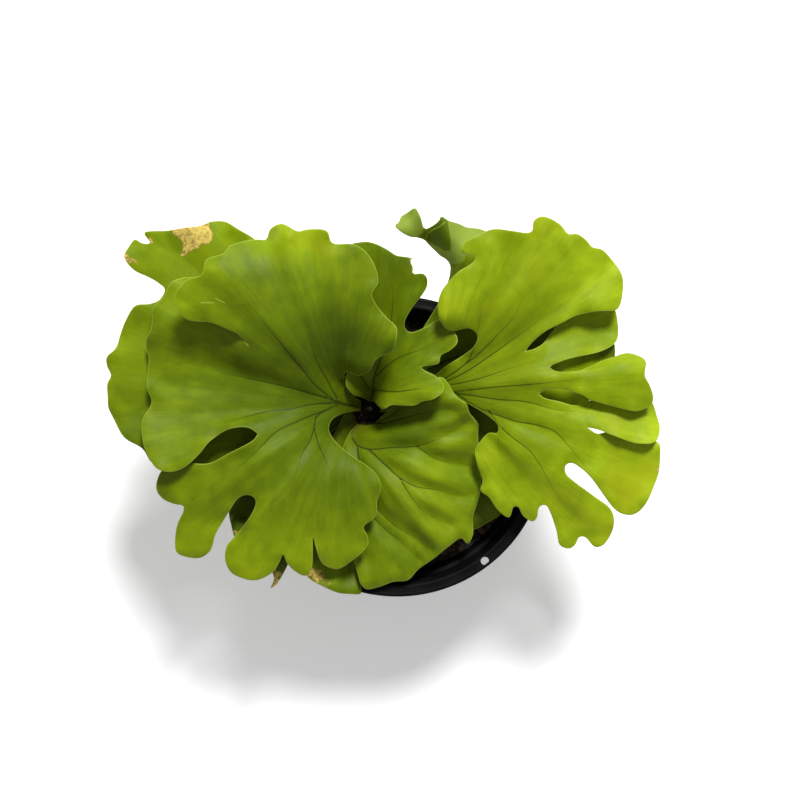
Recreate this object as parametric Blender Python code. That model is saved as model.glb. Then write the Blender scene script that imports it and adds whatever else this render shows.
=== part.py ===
"""Potted staghorn fern: a round nursery pot, its bark mix, the crown, and the fronds that grow from the crown.

Everything is given in millimetres from the centre of the pot's underside, +Z up, and built in metres.
A frond is a thin leaf: its margin is drawn in plan, lobe by lobe, and its surface passes through a few
height points. Heights of fronds are counted from the top of the pot's rim.
"""
import math

import bmesh
import bpy
import numpy as np
from mathutils.geometry import delaunay_2d_cdt

MM = 0.001

# Pot
RIM_RADIUS = 80.0
POT_HEIGHT = 120.0
BASE_RADIUS = 54.0
WALL = 1.2
BASE_THICKNESS = 2.4
FLANGE_INNER_RADIUS = 73.6
LIP_DROP = 3.6
COLLAR_DEPTH = 12.0
LEDGE_OUTER_RADIUS = 72.2
LEDGE_INNER_RADIUS = 70.0
POT_STEPS = 64
HANGER_HOLE_RADIUS = 2.2
HANGER_HOLE_REACH = 76.8
HANGER_HOLE_ANGLES = (37.5, 127.5, 217.5, 307.5)
DRAIN_HOLE_RADIUS = 5.0
DRAIN_HOLE_REACH = 38.0
DRAIN_HOLES = 8

# Potting mix, crown and what lies on the mix
GAP = 0.3
MIX_LEVEL = -18.0
MIX_WAVE = 1.2
CROWN_AT = (-15.0, 20.0)
CROWN_RADIUS = 6.5
CROWN_TOP = -1.0
BUD_HEIGHT = 7.0
BUD_RADIUS = 1.7
CHIPS = (
    # bearing and reach from the pot's axis, then length, width, thickness and turn
    (-31, 62, 12, 7, 3.2, 20),
    (-40, 57, 9, 6, 2.8, 75),
    (-45, 64, 10, 5, 2.4, 130),
    (-22, 64, 8, 6, 3.0, 55),
    (-55, 60, 11, 6, 2.6, 5),
    (-66, 62, 8, 5, 2.4, 95),
    (75, 62, 11, 7, 3.0, 40),
    (98, 60, 9, 6, 2.6, 110),
)

# Fronds
LEAF_THICKNESS = 1.2
MARGIN_STEP = 5.0
INNER_STEP = 9.0
SEAM_BLEND = 12.0
HEIGHT_SMOOTHING = 0.002

FRONDS = {
    "shield_old": {
        "lobes": [
            {
                "margin": [
                    (-25, 19), (-39, 13), (-55, 3), (-71, -8), (-83, -18), (-88, -28), (-88, -35),
                    (-87, -40), (-85, -48), (-80, -53), (-72, -57), (-68, -61), (-66, -66), (-65, -70),
                    (-67, -75), (-64, -73), (-60, -67), (-57, -60), (-57, -47), (-60, -31), (-58, -17),
                    (-49, -5), (-37, 6), (-25, 14),
                ],
                "heights": [],
            },
        ],
        "seams": [],
        "heights": [
            (-25, 17, -10), (-39, 10, -9), (-52, -1, -6), (-60, -10, 0), (-71, -17, 5), (-82, -25, 9),
            (-87, -36, 9), (-85, -47, 7), (-71, -39, 4), (-59, -39, 3), (-71, -56, 4), (-65, -65, 3),
            (-66, -74, 1), (-58, -60, 4),
        ],
    },
    "shield_left": {
        "lobes": [
            {
                "margin": [
                    (-19, 11), (-16, 3), (-13, -18), (-14, -45), (-19, -60), (-20, -70), (-19, -78),
                    (-25, -78), (-32, -77), (-40, -73), (-47, -69), (-53, -60), (-57, -44), (-55, -26),
                    (-47, -6), (-37, 2), (-32, 10), (-29, 16), (-26, 19), (-23, 17), (-22, 13),
                ],
                "heights": [],
            },
        ],
        "seams": [],
        "heights": [
            (-21, 12, -10), (-25, 17, -7), (-30, 12, -6), (-25, 3, -8), (-39, -2, -8), (-52, -23, -3),
            (-56, -44, 2), (-50, -65, 4), (-38, -74, 4), (-25, -79, 3), (-20, -65, 2), (-25, -39, -3),
            (-31, -18, -6), (-17, -29, -2), (-38, -49, 2),
        ],
    },
    "shield_right": {
        "lobes": [
            {
                "margin": [
                    (-8, 18), (4, 19), (23, 23), (39, 24), (51, 22), (59, 14), (63, 3), (63, -10),
                    (65, -20), (62, -29), (56, -36), (48, -41), (41, -45), (29, -46), (15, -40),
                    (2, -24), (-7, -5), (-10, 8), (-11, 14),
                ],
                "heights": [],
            },
        ],
        "seams": [],
        "heights": [
            (-9, 16, -9), (2, 14, -7), (18, 8, 0), (23, -18, -2), (28, 21, 8), (43, 18, 12),
            (54, 16, 12), (44, 6, 7), (59, -2, 5), (44, -12, 3), (55, -29, -1), (48, -40, -4),
            (28, -40, -6), (7, -18, -6),
        ],
    },
    "frond_left_back": {
        "lobes": [
            {
                "margin": [
                    (-21, 28), (-28, 38), (-37, 53), (-47, 71), (-55, 85), (-62, 96), (-71, 105),
                    (-78, 109), (-85, 113), (-92, 113), (-97, 111), (-103, 110), (-113, 109),
                    (-126, 108), (-125, 106), (-123, 103), (-127, 103), (-131, 105), (-134, 101),
                    (-136, 96), (-132, 90), (-124, 86), (-119, 83), (-116, 80), (-119, 75), (-124, 73),
                    (-131, 72), (-136, 66), (-140, 58), (-142, 51), (-147, 46), (-147, 42), (-145, 37),
                    (-147, 33), (-147, 26), (-147, 20), (-143, 12), (-138, 5), (-130, 0), (-126, -7),
                    (-120, -10), (-109, -13), (-94, -13), (-76, -9), (-61, 0), (-46, 10), (-33, 18),
                    (-22, 23),
                ],
                "heights": [],
            },
        ],
        "seams": [],
        "heights": [
            (-21, 26, -8), (-28, 27, -2), (-35, 29, 4), (-48, 35, 13), (-51, 25, 11), (-65, 45, 22),
            (-71, 25, 18), (-84, 65, 30), (-100, 45, 28), (-100, 25, 25), (-124, 60, 31),
            (-142, 52, 30), (-147, 26, 26), (-126, -3, 22), (-101, -1, 21), (-78, -7, 18),
            (-58, 4, 15), (-116, 80, 34), (-134, 97, 35), (-102, 110, 42), (-78, 108, 41),
            (-67, 95, 37), (-98, 92, 38), (-49, 66, 24),
        ],
    },
    "frond_right_back": {
        "lobes": [
            {
                "margin": [
                    (-10, 26), (-1, 36), (7, 47), (12, 59), (16, 66), (21, 74), (24, 81), (26, 85),
                    (27, 89), (27, 93), (25, 96), (22, 98), (19, 101), (16, 104), (14, 106), (10, 107),
                    (7, 107), (2, 109), (-1, 112), (1, 114), (2, 117), (5, 119), (9, 121), (10, 120),
                    (12, 116), (14, 111), (18, 112), (21, 114), (22, 116), (26, 114), (32, 113),
                    (35, 112), (42, 111), (52, 105), (67, 93), (85, 80), (103, 65), (110, 53),
                    (110, 42), (103, 30), (93, 21), (78, 19), (59, 25), (38, 29), (18, 28), (2, 24),
                    (-8, 23),
                ],
                "heights": [],
            },
        ],
        "seams": [],
        "heights": [
            (-9, 24, -7), (-1, 30, -3), (7, 36, 1), (15, 51, 8), (25, 41, 5), (20, 71, 16),
            (25, 89, 24), (16, 105, 27), (22, 115, 40), (18, 112, 36), (21, 101, 26), (25, 97, 28),
            (26, 105, 37), (28, 97, 33), (33, 101, 36), (33, 112, 31), (11, 109, 31), (3, 116, 33),
            (2, 110, 36), (42, 106, 32), (62, 90, 31), (42, 66, 24), (63, 45, 22), (43, 30, 9),
            (83, 70, 29), (98, 61, 28), (108, 53, 28), (103, 30, 28), (83, 25, 28), (77, 45, 31),
            (88, 42, 31),
        ],
    },
    "frond_right_front": {
        "lobes": [
            {
                "margin": [
                    (-9, 23), (2, 29), (12, 34), (20, 38), (25, 42), (33, 47), (39, 52), (40, 57),
                    (36, 60), (26, 59), (21, 64), (20, 71), (22, 78), (26, 83), (30, 87), (35, 90),
                    (38, 93), (37, 95), (31, 96), (32, 100), (39, 104), (46, 107), (56, 106),
                    (65, 106), (66, 111), (70, 113), (79, 109), (83, 105), (87, 105), (92, 102),
                    (95, 99), (100, 98), (107, 92), (111, 84), (110, 72), (108, 69), (98, 68),
                    (88, 66), (82, 63), (78, 61), (74, 59), (70, 56), (66, 52),
                ],
                "heights": [
                    (33, 46, 29), (40, 55, 38), (36, 62, 44), (24, 66, 48), (22, 78, 50), (38, 92, 54),
                    (55, 74, 48), (60, 97, 54), (71, 110, 58), (94, 98, 50), (110, 81, 46),
                    (95, 74, 48), (80, 64, 46), (73, 55, 43), (65, 69, 46), (46, 59, 40),
                ],
            },
            {
                "margin": [
                    (68, 50), (73, 53), (76, 57), (79, 61), (82, 66), (92, 71), (104, 73), (109, 71),
                    (111, 65), (111, 56), (109, 53), (102, 49), (89, 46), (82, 44), (76, 41), (79, 39),
                    (89, 39), (95, 41), (101, 44), (107, 46), (114, 48), (121, 46), (123, 44),
                    (122, 37), (125, 32), (127, 26), (126, 22), (122, 20), (118, 19), (113, 20),
                    (105, 22), (98, 24), (95, 25), (92, 27), (89, 28), (83, 30), (75, 30),
                ],
                "heights": [
                    (74, 56, 38), (89, 62, 37), (107, 69, 34), (108, 55, 33), (91, 49, 38),
                    (77, 40, 40), (91, 35, 42), (110, 44, 43), (122, 44, 42), (125, 29, 42),
                    (118, 21, 42), (100, 25, 43), (81, 31, 40),
                ],
            },
            {
                "margin": [
                    (73, 26), (81, 24), (89, 22), (94, 23), (98, 25), (104, 28), (115, 29), (125, 28),
                    (129, 23), (131, 17), (132, 10), (129, 4), (120, 3), (113, 5), (105, 8), (100, 10),
                ],
                "heights": [
                    (84, 23, 36), (102, 27, 33), (122, 25, 32), (130, 17, 33), (129, 5, 37),
                    (114, 6, 38), (106, 17, 37),
                ],
            },
            {
                "margin": [
                    (100, 8), (107, 9), (116, 8), (125, 6), (132, 3), (133, -2), (133, -12),
                    (129, -23), (124, -32), (120, -34), (114, -33), (110, -30), (99, -16), (93, -10),
                    (88, -7), (85, -8), (85, -12), (89, -16), (100, -24), (109, -31), (111, -37),
                    (110, -44), (106, -50), (102, -51), (97, -46), (94, -46), (92, -50), (89, -52),
                    (84, -50), (82, -42), (79, -34), (76, -29), (73, -30), (72, -36), (70, -38),
                    (65, -35), (62, -30), (60, -30), (58, -36), (52, -32), (47, -25), (43, -22),
                    (44, -17), (41, -8), (40, -1), (43, 4), (47, 8), (51, 8), (51, 12), (47, 16),
                    (41, 20), (33, 24), (22, 25), (9, 22), (-9, 18),
                ],
                "heights": [
                    (107, 7, 33), (130, 2, 31), (131, -16, 27), (119, -32, 24), (102, -11, 32),
                    (86, -8, 32), (104, -31, 24), (108, -45, 20), (90, -50, 19), (83, -26, 26),
                    (72, -5, 32), (68, -34, 20), (53, -29, 19), (45, -22, 20), (42, -1, 22),
                    (47, 7, 25), (57, 5, 30), (51, 15, 28), (41, 21, 27), (33, 24, 25),
                ],
            },
        ],
        "seams": [
            [(-9, 22), (7, 27), (25, 32), (39, 38), (54, 45), (64, 49)],
            [(-9, 20), (7, 25), (25, 29), (44, 29), (59, 28), (71, 28)],
            [(-9, 19), (7, 23), (25, 27), (47, 24), (69, 18), (84, 14), (95, 11)],
        ],
        "heights": [
            (-9, 21, -2), (-1, 24, 4), (7, 25, 9), (17, 28, 17), (25, 30, 22), (32, 31, 26),
            (42, 39, 31), (54, 45, 36), (64, 49, 40), (44, 29, 31), (59, 28, 35), (72, 27, 38),
            (52, 22, 32), (72, 17, 36), (95, 11, 38), (84, 14, 37),
        ],
    },
    "shield_front": {
        "lobes": [
            {
                "margin": [
                    (-11, 13), (-7, 17), (-2, 21), (5, 24), (10, 29), (15, 34), (20, 36), (23, 36),
                    (26, 33), (29, 28), (32, 25), (35, 23), (37, 18), (39, 16), (42, 12), (42, 7),
                    (43, -5), (44, -17), (43, -26), (40, -37), (40, -46), (37, -51), (34, -48),
                    (27, -52), (19, -59), (11, -65), (6, -70), (-2, -71), (-10, -74), (-16, -75),
                    (-19, -72), (-20, -69), (-23, -59), (-28, -44), (-31, -25), (-30, -9), (-28, 1),
                    (-24, 9), (-21, 12),
                ],
                "heights": [],
            },
        ],
        "seams": [],
        "heights": [
            (-17, 13, -4), (-14, 8, 5), (-6, 14, 8), (2, 18, 14), (12, 21, 21), (20, 32, 29),
            (27, 30, 31), (35, 22, 30), (42, 10, 17), (12, 9, 21), (26, 9, 23), (33, -1, 15),
            (43, -17, 10), (38, -49, 5), (25, -51, 8), (2, -68, 6), (-17, -74, 5), (-23, -59, 6),
            (-14, -49, 9), (4, -27, 17), (17, -17, 18), (-6, -6, 16), (-27, -12, 8), (-29, -38, 6),
            (-25, 8, 1), (21, -35, 13),
        ],
    },
    "frond_middle": {
        "lobes": [
            {
                "margin": [
                    (-15, 24), (-18, 26), (-22, 27), (-24, 29), (-26, 32), (-26, 36), (-25, 41),
                    (-25, 50), (-26, 65), (-27, 80), (-27, 92), (-26, 99), (-23, 102), (-19, 103),
                    (-14, 103), (-5, 99), (0, 96), (5, 95), (9, 94), (7, 94), (7, 92), (8, 90),
                    (8, 87), (11, 87), (13, 87), (15, 85), (15, 81), (12, 76), (8, 71), (4, 64),
                    (4, 61), (6, 59), (9, 59), (14, 61), (19, 64), (23, 65), (27, 61), (30, 56),
                    (30, 53), (26, 49), (22, 47), (21, 43), (17, 42), (12, 41), (15, 39), (19, 37),
                    (23, 33), (23, 29), (18, 25), (13, 24), (9, 22), (2, 22), (-3, 22), (-7, 20),
                    (-10, 22), (-12, 24),
                ],
                "heights": [],
            },
        ],
        "seams": [],
        "heights": [
            (-14, 24, 1), (-14, 28, 6), (-13, 32, 11), (-18, 27, 13), (-24, 31, 21), (-25, 39, 24),
            (-19, 38, 18), (-12, 40, 18), (-11, 50, 25), (-24, 55, 28), (-3, 55, 30), (22, 57, 36),
            (29, 54, 38), (-9, 70, 33), (-12, 89, 40), (-23, 100, 40), (4, 93, 44), (14, 83, 42),
            (4, 70, 37), (-2, 42, 27), (9, 41, 33), (22, 33, 38), (14, 25, 37), (2, 23, 31),
            (-7, 21, 25), (-11, 23, 17), (-6, 31, 22), (7, 32, 33),
        ],
    },
    "frond_left_front": {
        "lobes": [
            {
                "margin": [
                    (-19, 24), (-22, 26), (-25, 29), (-27, 33), (-27, 37), (-26, 39), (-23, 38),
                    (-19, 37), (-14, 39), (-10, 45), (-2, 49), (0, 56), (0, 60), (-5, 65), (-10, 71),
                    (-12, 76), (-9, 81), (-10, 88), (-15, 96), (-21, 99), (-31, 100), (-33, 105),
                    (-43, 106), (-47, 105), (-55, 109), (-61, 107), (-63, 102), (-67, 102), (-79, 98),
                    (-82, 94), (-90, 91), (-92, 84), (-99, 82), (-104, 77), (-106, 72), (-104, 67),
                    (-100, 63), (-90, 62), (-82, 59), (-76, 56),
                ],
                "heights": [
                    (-24, 29, 12), (-27, 35, 19), (-25, 38, 27), (-18, 38, 32), (-32, 36, 24),
                    (-34, 41, 31), (-32, 49, 40), (-18, 49, 41), (-1, 56, 50), (-6, 68, 53),
                    (-15, 73, 54), (-27, 67, 53), (-28, 56, 46), (-37, 59, 51), (-42, 49, 45),
                    (-47, 54, 51), (-56, 62, 57), (-70, 68, 60), (-86, 72, 64), (-104, 72, 64),
                    (-81, 90, 66), (-64, 98, 60), (-60, 106, 56), (-51, 104, 66), (-46, 101, 63),
                    (-32, 99, 61), (-13, 91, 58), (-27, 77, 57), (-42, 73, 58), (-37, 86, 60),
                ],
            },
            {
                "margin": [
                    (-77, 57), (-85, 68), (-92, 78), (-98, 84), (-103, 85), (-108, 84), (-111, 82),
                    (-115, 75), (-120, 70), (-121, 61), (-125, 53), (-124, 45), (-125, 31), (-123, 24),
                    (-127, 15), (-127, 8), (-124, -2), (-119, -9), (-113, -11), (-106, -9), (-98, -2),
                    (-93, 4), (-84, 10), (-74, 11),
                ],
                "heights": [
                    (-94, 71, 46), (-116, 74, 45), (-78, 56, 49), (-89, 60, 45), (-115, 59, 42),
                    (-83, 48, 41), (-103, 50, 38), (-121, 50, 37), (-99, 38, 32), (-119, 37, 33),
                    (-79, 36, 34), (-92, 27, 32), (-119, 25, 34), (-98, 15, 36), (-123, 15, 37),
                    (-78, 17, 36), (-115, -8, 39), (-98, 2, 38), (-78, 10, 39), (-125, 5, 39),
                ],
            },
            {
                "margin": [
                    (-71, 5), (-84, -2), (-94, -7), (-104, -7), (-115, -8), (-120, -13), (-122, -21),
                    (-119, -26), (-114, -28), (-108, -29), (-108, -31), (-112, -39), (-114, -49),
                    (-113, -54), (-103, -57), (-96, -53), (-92, -43), (-85, -32), (-80, -25),
                    (-76, -23), (-72, -24), (-71, -27), (-74, -34), (-82, -44), (-87, -50), (-88, -57),
                    (-85, -64), (-79, -67), (-72, -68), (-64, -64), (-60, -58), (-58, -54), (-56, -59),
                    (-52, -64), (-47, -66), (-44, -62), (-43, -51), (-43, -45), (-41, -52), (-38, -60),
                    (-31, -63), (-24, -59), (-15, -50), (-15, -45), (-17, -40), (-11, -35), (-10, -27),
                    (-8, -20), (-10, -14), (-15, -9), (-24, -3), (-32, 4), (-35, 10), (-33, 15),
                    (-27, 18), (-19, 19),
                ],
                "heights": [
                    (-78, 0, 38), (-99, -16, 32), (-118, -20, 27), (-106, -52, 21), (-70, -25, 34),
                    (-75, -63, 20), (-49, -5, 34), (-49, -26, 30), (-50, -60, 20), (-26, -21, 27),
                    (-27, -58, 18), (-9, -21, 23), (-19, -7, 24), (-32, 4, 21), (-33, 15, 19),
                    (-27, 18, 12), (-39, 4, 26),
                ],
            },
        ],
        "seams": [
            [(-19, 22), (-34, 26), (-52, 36), (-65, 45), (-72, 51)],
            [(-19, 20), (-34, 21), (-49, 17), (-60, 12), (-69, 8)],
        ],
        "heights": [
            (-19, 22, 2), (-24, 22, 9), (-29, 22, 16), (-37, 23, 22), (-47, 25, 27), (-44, 32, 32),
            (-52, 36, 38), (-65, 45, 48), (-72, 51, 52), (-59, 54, 54), (-47, 48, 47), (-62, 35, 36),
            (-72, 41, 41), (-56, 25, 31), (-49, 19, 30), (-60, 13, 35), (-69, 8, 39),
        ],
    },}

COLOURS = {
    "pot": (0.012, 0.012, 0.011),
    "potting_mix": (0.035, 0.02, 0.011),
    "crown": (0.03, 0.014, 0.008),
    "new_bud": (0.2, 0.22, 0.1),
    "bark_chip": (0.07, 0.035, 0.02),
    "frond": (0.19, 0.27, 0.012),
    "shield": (0.13, 0.19, 0.01),
}


def clear_scene():
    for old in list(bpy.data.objects):
        bpy.data.objects.remove(old)


def make_material(name, colour, roughness):
    material = bpy.data.materials.new(name)
    material.use_nodes = True
    shader = material.node_tree.nodes["Principled BSDF"]
    shader.inputs["Base Color"].default_value = (*colour, 1.0)
    shader.inputs["Roughness"].default_value = roughness
    shader.inputs["Metallic"].default_value = 0.0
    return material


def add_object(name, bm, colour, roughness, flat_angle=None):
    """Links the bmesh as a smooth-shaded object with its own material; its coordinates are in millimetres."""
    bmesh.ops.scale(bm, vec=(MM, MM, MM), verts=bm.verts)
    mesh = bpy.data.meshes.new(name)
    bm.to_mesh(mesh)
    bm.free()
    mesh.shade_smooth()
    if flat_angle is not None:
        mesh.set_sharp_from_angle(angle=math.radians(flat_angle))
    mesh.materials.append(make_material(name, colour, roughness))
    new = bpy.data.objects.new(name, mesh)
    bpy.context.scene.collection.objects.link(new)
    return new


def polar(bearing, reach):
    angle = math.radians(bearing)
    return reach * math.cos(angle), reach * math.sin(angle)


# ---- pot -------------------------------------------------------------------------------------------------

def inner_wall_radius(z):
    """Radius of the pot's inside at height z, below its ledge."""
    bottom = BASE_RADIUS - WALL
    share = (z - BASE_THICKNESS) / (POT_HEIGHT - COLLAR_DEPTH - BASE_THICKNESS)
    return bottom + (LEDGE_INNER_RADIUS - bottom) * share


def pot_profile():
    """Half section of the pot as (radius, height), down the outside and up the inside."""
    ledge = POT_HEIGHT - COLLAR_DEPTH
    return [
        (FLANGE_INNER_RADIUS, POT_HEIGHT - 0.4),
        (FLANGE_INNER_RADIUS + 0.5, POT_HEIGHT),
        (RIM_RADIUS - 0.6, POT_HEIGHT),
        (RIM_RADIUS, POT_HEIGHT - 0.6),
        (RIM_RADIUS, POT_HEIGHT - LIP_DROP),
        (RIM_RADIUS - WALL, POT_HEIGHT - LIP_DROP),
        (RIM_RADIUS - WALL, POT_HEIGHT - WALL),
        (FLANGE_INNER_RADIUS + WALL, POT_HEIGHT - WALL),
        (LEDGE_OUTER_RADIUS + WALL, ledge - WALL),
        (LEDGE_INNER_RADIUS + WALL, ledge - WALL - 0.6),
        (BASE_RADIUS + 0.4, 1.5),
        (BASE_RADIUS - 1.0, 0.0),
        (0.0, 0.0),
        (0.0, BASE_THICKNESS),
        (BASE_RADIUS - WALL, BASE_THICKNESS),
        (LEDGE_INNER_RADIUS, ledge),
        (LEDGE_OUTER_RADIUS, ledge + 0.6),
    ]


def add_cutter(name, radius, x, y, low, high):
    """A guide that bores one round hole."""
    bm = bmesh.new()
    bmesh.ops.create_cone(bm, cap_ends=True, segments=16, radius1=radius, radius2=radius, depth=high - low)
    bmesh.ops.translate(bm, vec=(x, y, (low + high) / 2), verts=bm.verts)
    cutter = add_object(name, bm, COLOURS["pot"], 0.5)
    cutter.hide_render = True
    cutter.display_type = "WIRE"
    return cutter


def drill(body, cutter):
    cut = body.modifiers.new(cutter.name, "BOOLEAN")
    cut.operation = "DIFFERENCE"
    cut.solver = "EXACT"
    cut.object = cutter


def add_pot():
    bm = bmesh.new()
    ring = [bm.verts.new((r, 0.0, z)) for r, z in pot_profile()]
    edges = [bm.edges.new((ring[i], ring[i + 1])) for i in range(len(ring) - 1)]
    edges.append(bm.edges.new((ring[-1], ring[0])))
    bmesh.ops.spin(
        bm, geom=ring + edges, cent=(0, 0, 0), axis=(0, 0, 1), angle=2 * math.pi,
        steps=POT_STEPS, use_merge=True,
    )
    bmesh.ops.remove_doubles(bm, verts=bm.verts, dist=0.01)
    bmesh.ops.dissolve_degenerate(bm, edges=bm.edges, dist=0.01)
    bmesh.ops.recalc_face_normals(bm, faces=bm.faces)
    pot = add_object("pot", bm, COLOURS["pot"], 0.45, flat_angle=35)
    for number, bearing in enumerate(HANGER_HOLE_ANGLES):
        x, y = polar(bearing, HANGER_HOLE_REACH)
        low, high = POT_HEIGHT - WALL - 1.0, POT_HEIGHT + 1.0
        drill(pot, add_cutter(f"hanger_hole_{number + 1}", HANGER_HOLE_RADIUS, x, y, low, high))
    for number in range(DRAIN_HOLES):
        x, y = polar(number * 360 / DRAIN_HOLES, DRAIN_HOLE_REACH)
        drill(pot, add_cutter(f"drain_hole_{number + 1}", DRAIN_HOLE_RADIUS, x, y, -1.0, BASE_THICKNESS + 1.0))


# ---- potting mix and what is on it ------------------------------------------------------------------------

def mix_height(x, y):
    """Height of the potting mix's loose surface."""
    wave = math.sin(x * 0.16 + 1.0) * math.cos(y * 0.19) + 0.5 * math.sin(x * 0.31 - y * 0.27)
    return POT_HEIGHT + MIX_LEVEL + MIX_WAVE * wave / 1.5


def mix_ring(bm, steps, radius, height_of):
    ring = []
    for step in range(steps):
        x, y = polar(step * 360 / steps, radius)
        ring.append(bm.verts.new((x, y, height_of(x, y))))
    return ring


def add_potting_mix():
    """One turned solid with a level base, sides that follow the pot and a loose, uneven top."""
    bottom = BASE_THICKNESS + GAP
    top = POT_HEIGHT + MIX_LEVEL
    steps = 48
    bm = bmesh.new()
    rings = [mix_ring(bm, steps, inner_wall_radius(bottom) - 2 * GAP, lambda x, y: bottom)]
    edge_radius = inner_wall_radius(top - MIX_WAVE) - 2 * GAP
    for share in (1.0, 0.86, 0.68, 0.48, 0.26):
        rings.append(mix_ring(bm, steps, edge_radius * share, mix_height))
    for low, high in zip(rings, rings[1:]):
        for i in range(steps):
            j = (i + 1) % steps
            bm.faces.new((low[i], low[j], high[j], high[i]))
    bm.faces.new(rings[0][::-1])
    middle = bm.verts.new((0, 0, mix_height(0, 0)))
    for i in range(steps):
        bm.faces.new((rings[-1][i], rings[-1][(i + 1) % steps], middle))
    bmesh.ops.recalc_face_normals(bm, faces=bm.faces)
    add_object("potting_mix", bm, COLOURS["potting_mix"], 0.95, flat_angle=40)


def add_crown():
    """The short knobbly rhizome that stands on the mix."""
    bm = bmesh.new()
    bmesh.ops.create_uvsphere(bm, u_segments=20, v_segments=12, radius=1.0)
    low = POT_HEIGHT + MIX_LEVEL + MIX_WAVE + GAP
    high = POT_HEIGHT + CROWN_TOP
    middle, half = (low + high) / 2, (high - low) / 2
    for vert in bm.verts:
        x, y, z = vert.co
        lump = 1.0 + 0.06 * math.sin(5 * math.atan2(y, x) + 4 * z) * math.sqrt(max(0.0, 1 - z * z))
        vert.co = (CROWN_AT[0] + x * CROWN_RADIUS * lump, CROWN_AT[1] + y * CROWN_RADIUS * lump, middle + z * half)
    add_object("crown", bm, COLOURS["crown"], 0.9)


def add_new_bud():
    """The furled young frond on top of the crown: a plump bud that leans a little."""
    bm = bmesh.new()
    bmesh.ops.create_uvsphere(bm, u_segments=12, v_segments=10, radius=1.0)
    low = POT_HEIGHT + CROWN_TOP + GAP
    for vert in bm.verts:
        x, y, z = vert.co
        rise = (z + 1) / 2
        girth = BUD_RADIUS * (1.0 - 0.35 * rise)
        lean = 1.6 * rise * rise
        vert.co = (CROWN_AT[0] + x * girth + lean, CROWN_AT[1] + y * girth, low + rise * BUD_HEIGHT)
    add_object("new_bud", bm, COLOURS["new_bud"], 0.7)


def add_bark_chip(name, bearing, reach, length, width, thickness, turn):
    """A broken flake of bark with blunt corners, lying just above the mix."""
    bm = bmesh.new()
    bmesh.ops.create_icosphere(bm, subdivisions=2, radius=1.0)
    x0, y0 = polar(bearing, reach)
    cos, sin = math.cos(math.radians(turn)), math.sin(math.radians(turn))
    places = []
    for vert in bm.verts:
        x, y, z = (math.copysign(abs(value) ** 0.6, value) for value in vert.co)
        skew = 1.0 + 0.18 * math.sin(3 * x + turn)
        x, y = x * length / 2.6, y * skew * width / 2.6
        places.append((x0 + x * cos - y * sin, y0 + x * sin + y * cos, z * thickness / 2.6))
    lowest = min(z for _, _, z in places)
    ground = max(mix_height(x, y) for x, y, _ in places) + MIX_WAVE * 0.35 + GAP
    for vert, (x, y, z) in zip(bm.verts, places):
        vert.co = (x, y, z - lowest + ground)
    add_object(name, bm, COLOURS["bark_chip"], 0.9, flat_angle=30)


# ---- fronds -----------------------------------------------------------------------------------------------

def smooth_line(points, step):
    """A centripetal Catmull-Rom curve through the points, cut into equal steps of about the given length."""
    given = [np.array(point, float) for point in points]
    ends = [2 * given[0] - given[1], *given, 2 * given[-1] - given[-2]]
    dense = []
    for i in range(len(given) - 1):
        a, b, c, d = ends[i:i + 4]
        tb = math.sqrt(max(np.linalg.norm(b - a), 1e-6))
        tc = tb + math.sqrt(max(np.linalg.norm(c - b), 1e-6))
        td = tc + math.sqrt(max(np.linalg.norm(d - c), 1e-6))
        for t in np.linspace(tb, tc, 12, endpoint=False):
            ab = (tb - t) / tb * a + t / tb * b
            bc = (tc - t) / (tc - tb) * b + (t - tb) / (tc - tb) * c
            cd = (td - t) / (td - tc) * c + (t - tc) / (td - tc) * d
            abc = (tc - t) / tc * ab + t / tc * bc
            bcd = (td - t) / (td - tb) * bc + (t - tb) / (td - tb) * cd
            dense.append((tc - t) / (tc - tb) * abc + (t - tb) / (tc - tb) * bcd)
    dense.append(given[-1])
    dense = np.array(dense)
    along = np.concatenate([[0.0], np.cumsum(np.linalg.norm(np.diff(dense, axis=0), axis=1))])
    count = max(1, round(along[-1] / step))
    places = np.linspace(0.0, along[-1], count + 1)
    return np.stack([np.interp(places, along, dense[:, k]) for k in (0, 1)], axis=1)


def height_surface(points):
    """A thin-plate surface through (x, y, height) points, as a function of an array of plan positions."""
    scale = 30.0
    known = np.array(points, float)
    plan = known[:, :2] / scale
    count = len(plan)

    def bend(distance):
        return np.where(distance > 0, distance ** 2 * np.log(np.maximum(distance, 1e-9)), 0.0)

    system = np.zeros((count + 3, count + 3))
    system[:count, :count] = bend(np.linalg.norm(plan[:, None] - plan[None], axis=2))
    system[:count, :count] += np.eye(count) * HEIGHT_SMOOTHING
    system[:count, count] = 1.0
    system[:count, count + 1:] = plan
    system[count:, :count] = system[:count, count:].T
    weights = np.linalg.solve(system, np.concatenate([known[:, 2], np.zeros(3)]))

    def height(places):
        places = np.atleast_2d(places) / scale
        reach = np.linalg.norm(places[:, None] - plan[None], axis=2)
        return bend(reach) @ weights[:count] + weights[count] + places @ weights[count + 1:]

    return height


def lobe_outline(frond, number):
    """Closed outline of one lobe, counted from the crown: up the seam before it, round its margin and back
    down the seam after it. Neighbouring lobes share the points of their seam."""
    seams = frond["seams"]
    before = seams[number - 1] if number > 0 else None
    after = seams[number] if number < len(seams) else None
    margin = list(frond["lobes"][number]["margin"])
    if before is not None:
        margin.insert(0, before[-1])
    if after is not None:
        margin.append(after[-1])
    outline = [smooth_line(margin, MARGIN_STEP)]
    borders = []
    if before is not None:
        line = smooth_line(before, MARGIN_STEP)
        borders.append(line)
        outline.insert(0, line[:-1])
    if after is not None:
        line = smooth_line(after, MARGIN_STEP)
        borders.append(line)
        outline.append(line[-2::-1])
    return np.concatenate(outline), borders


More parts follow.
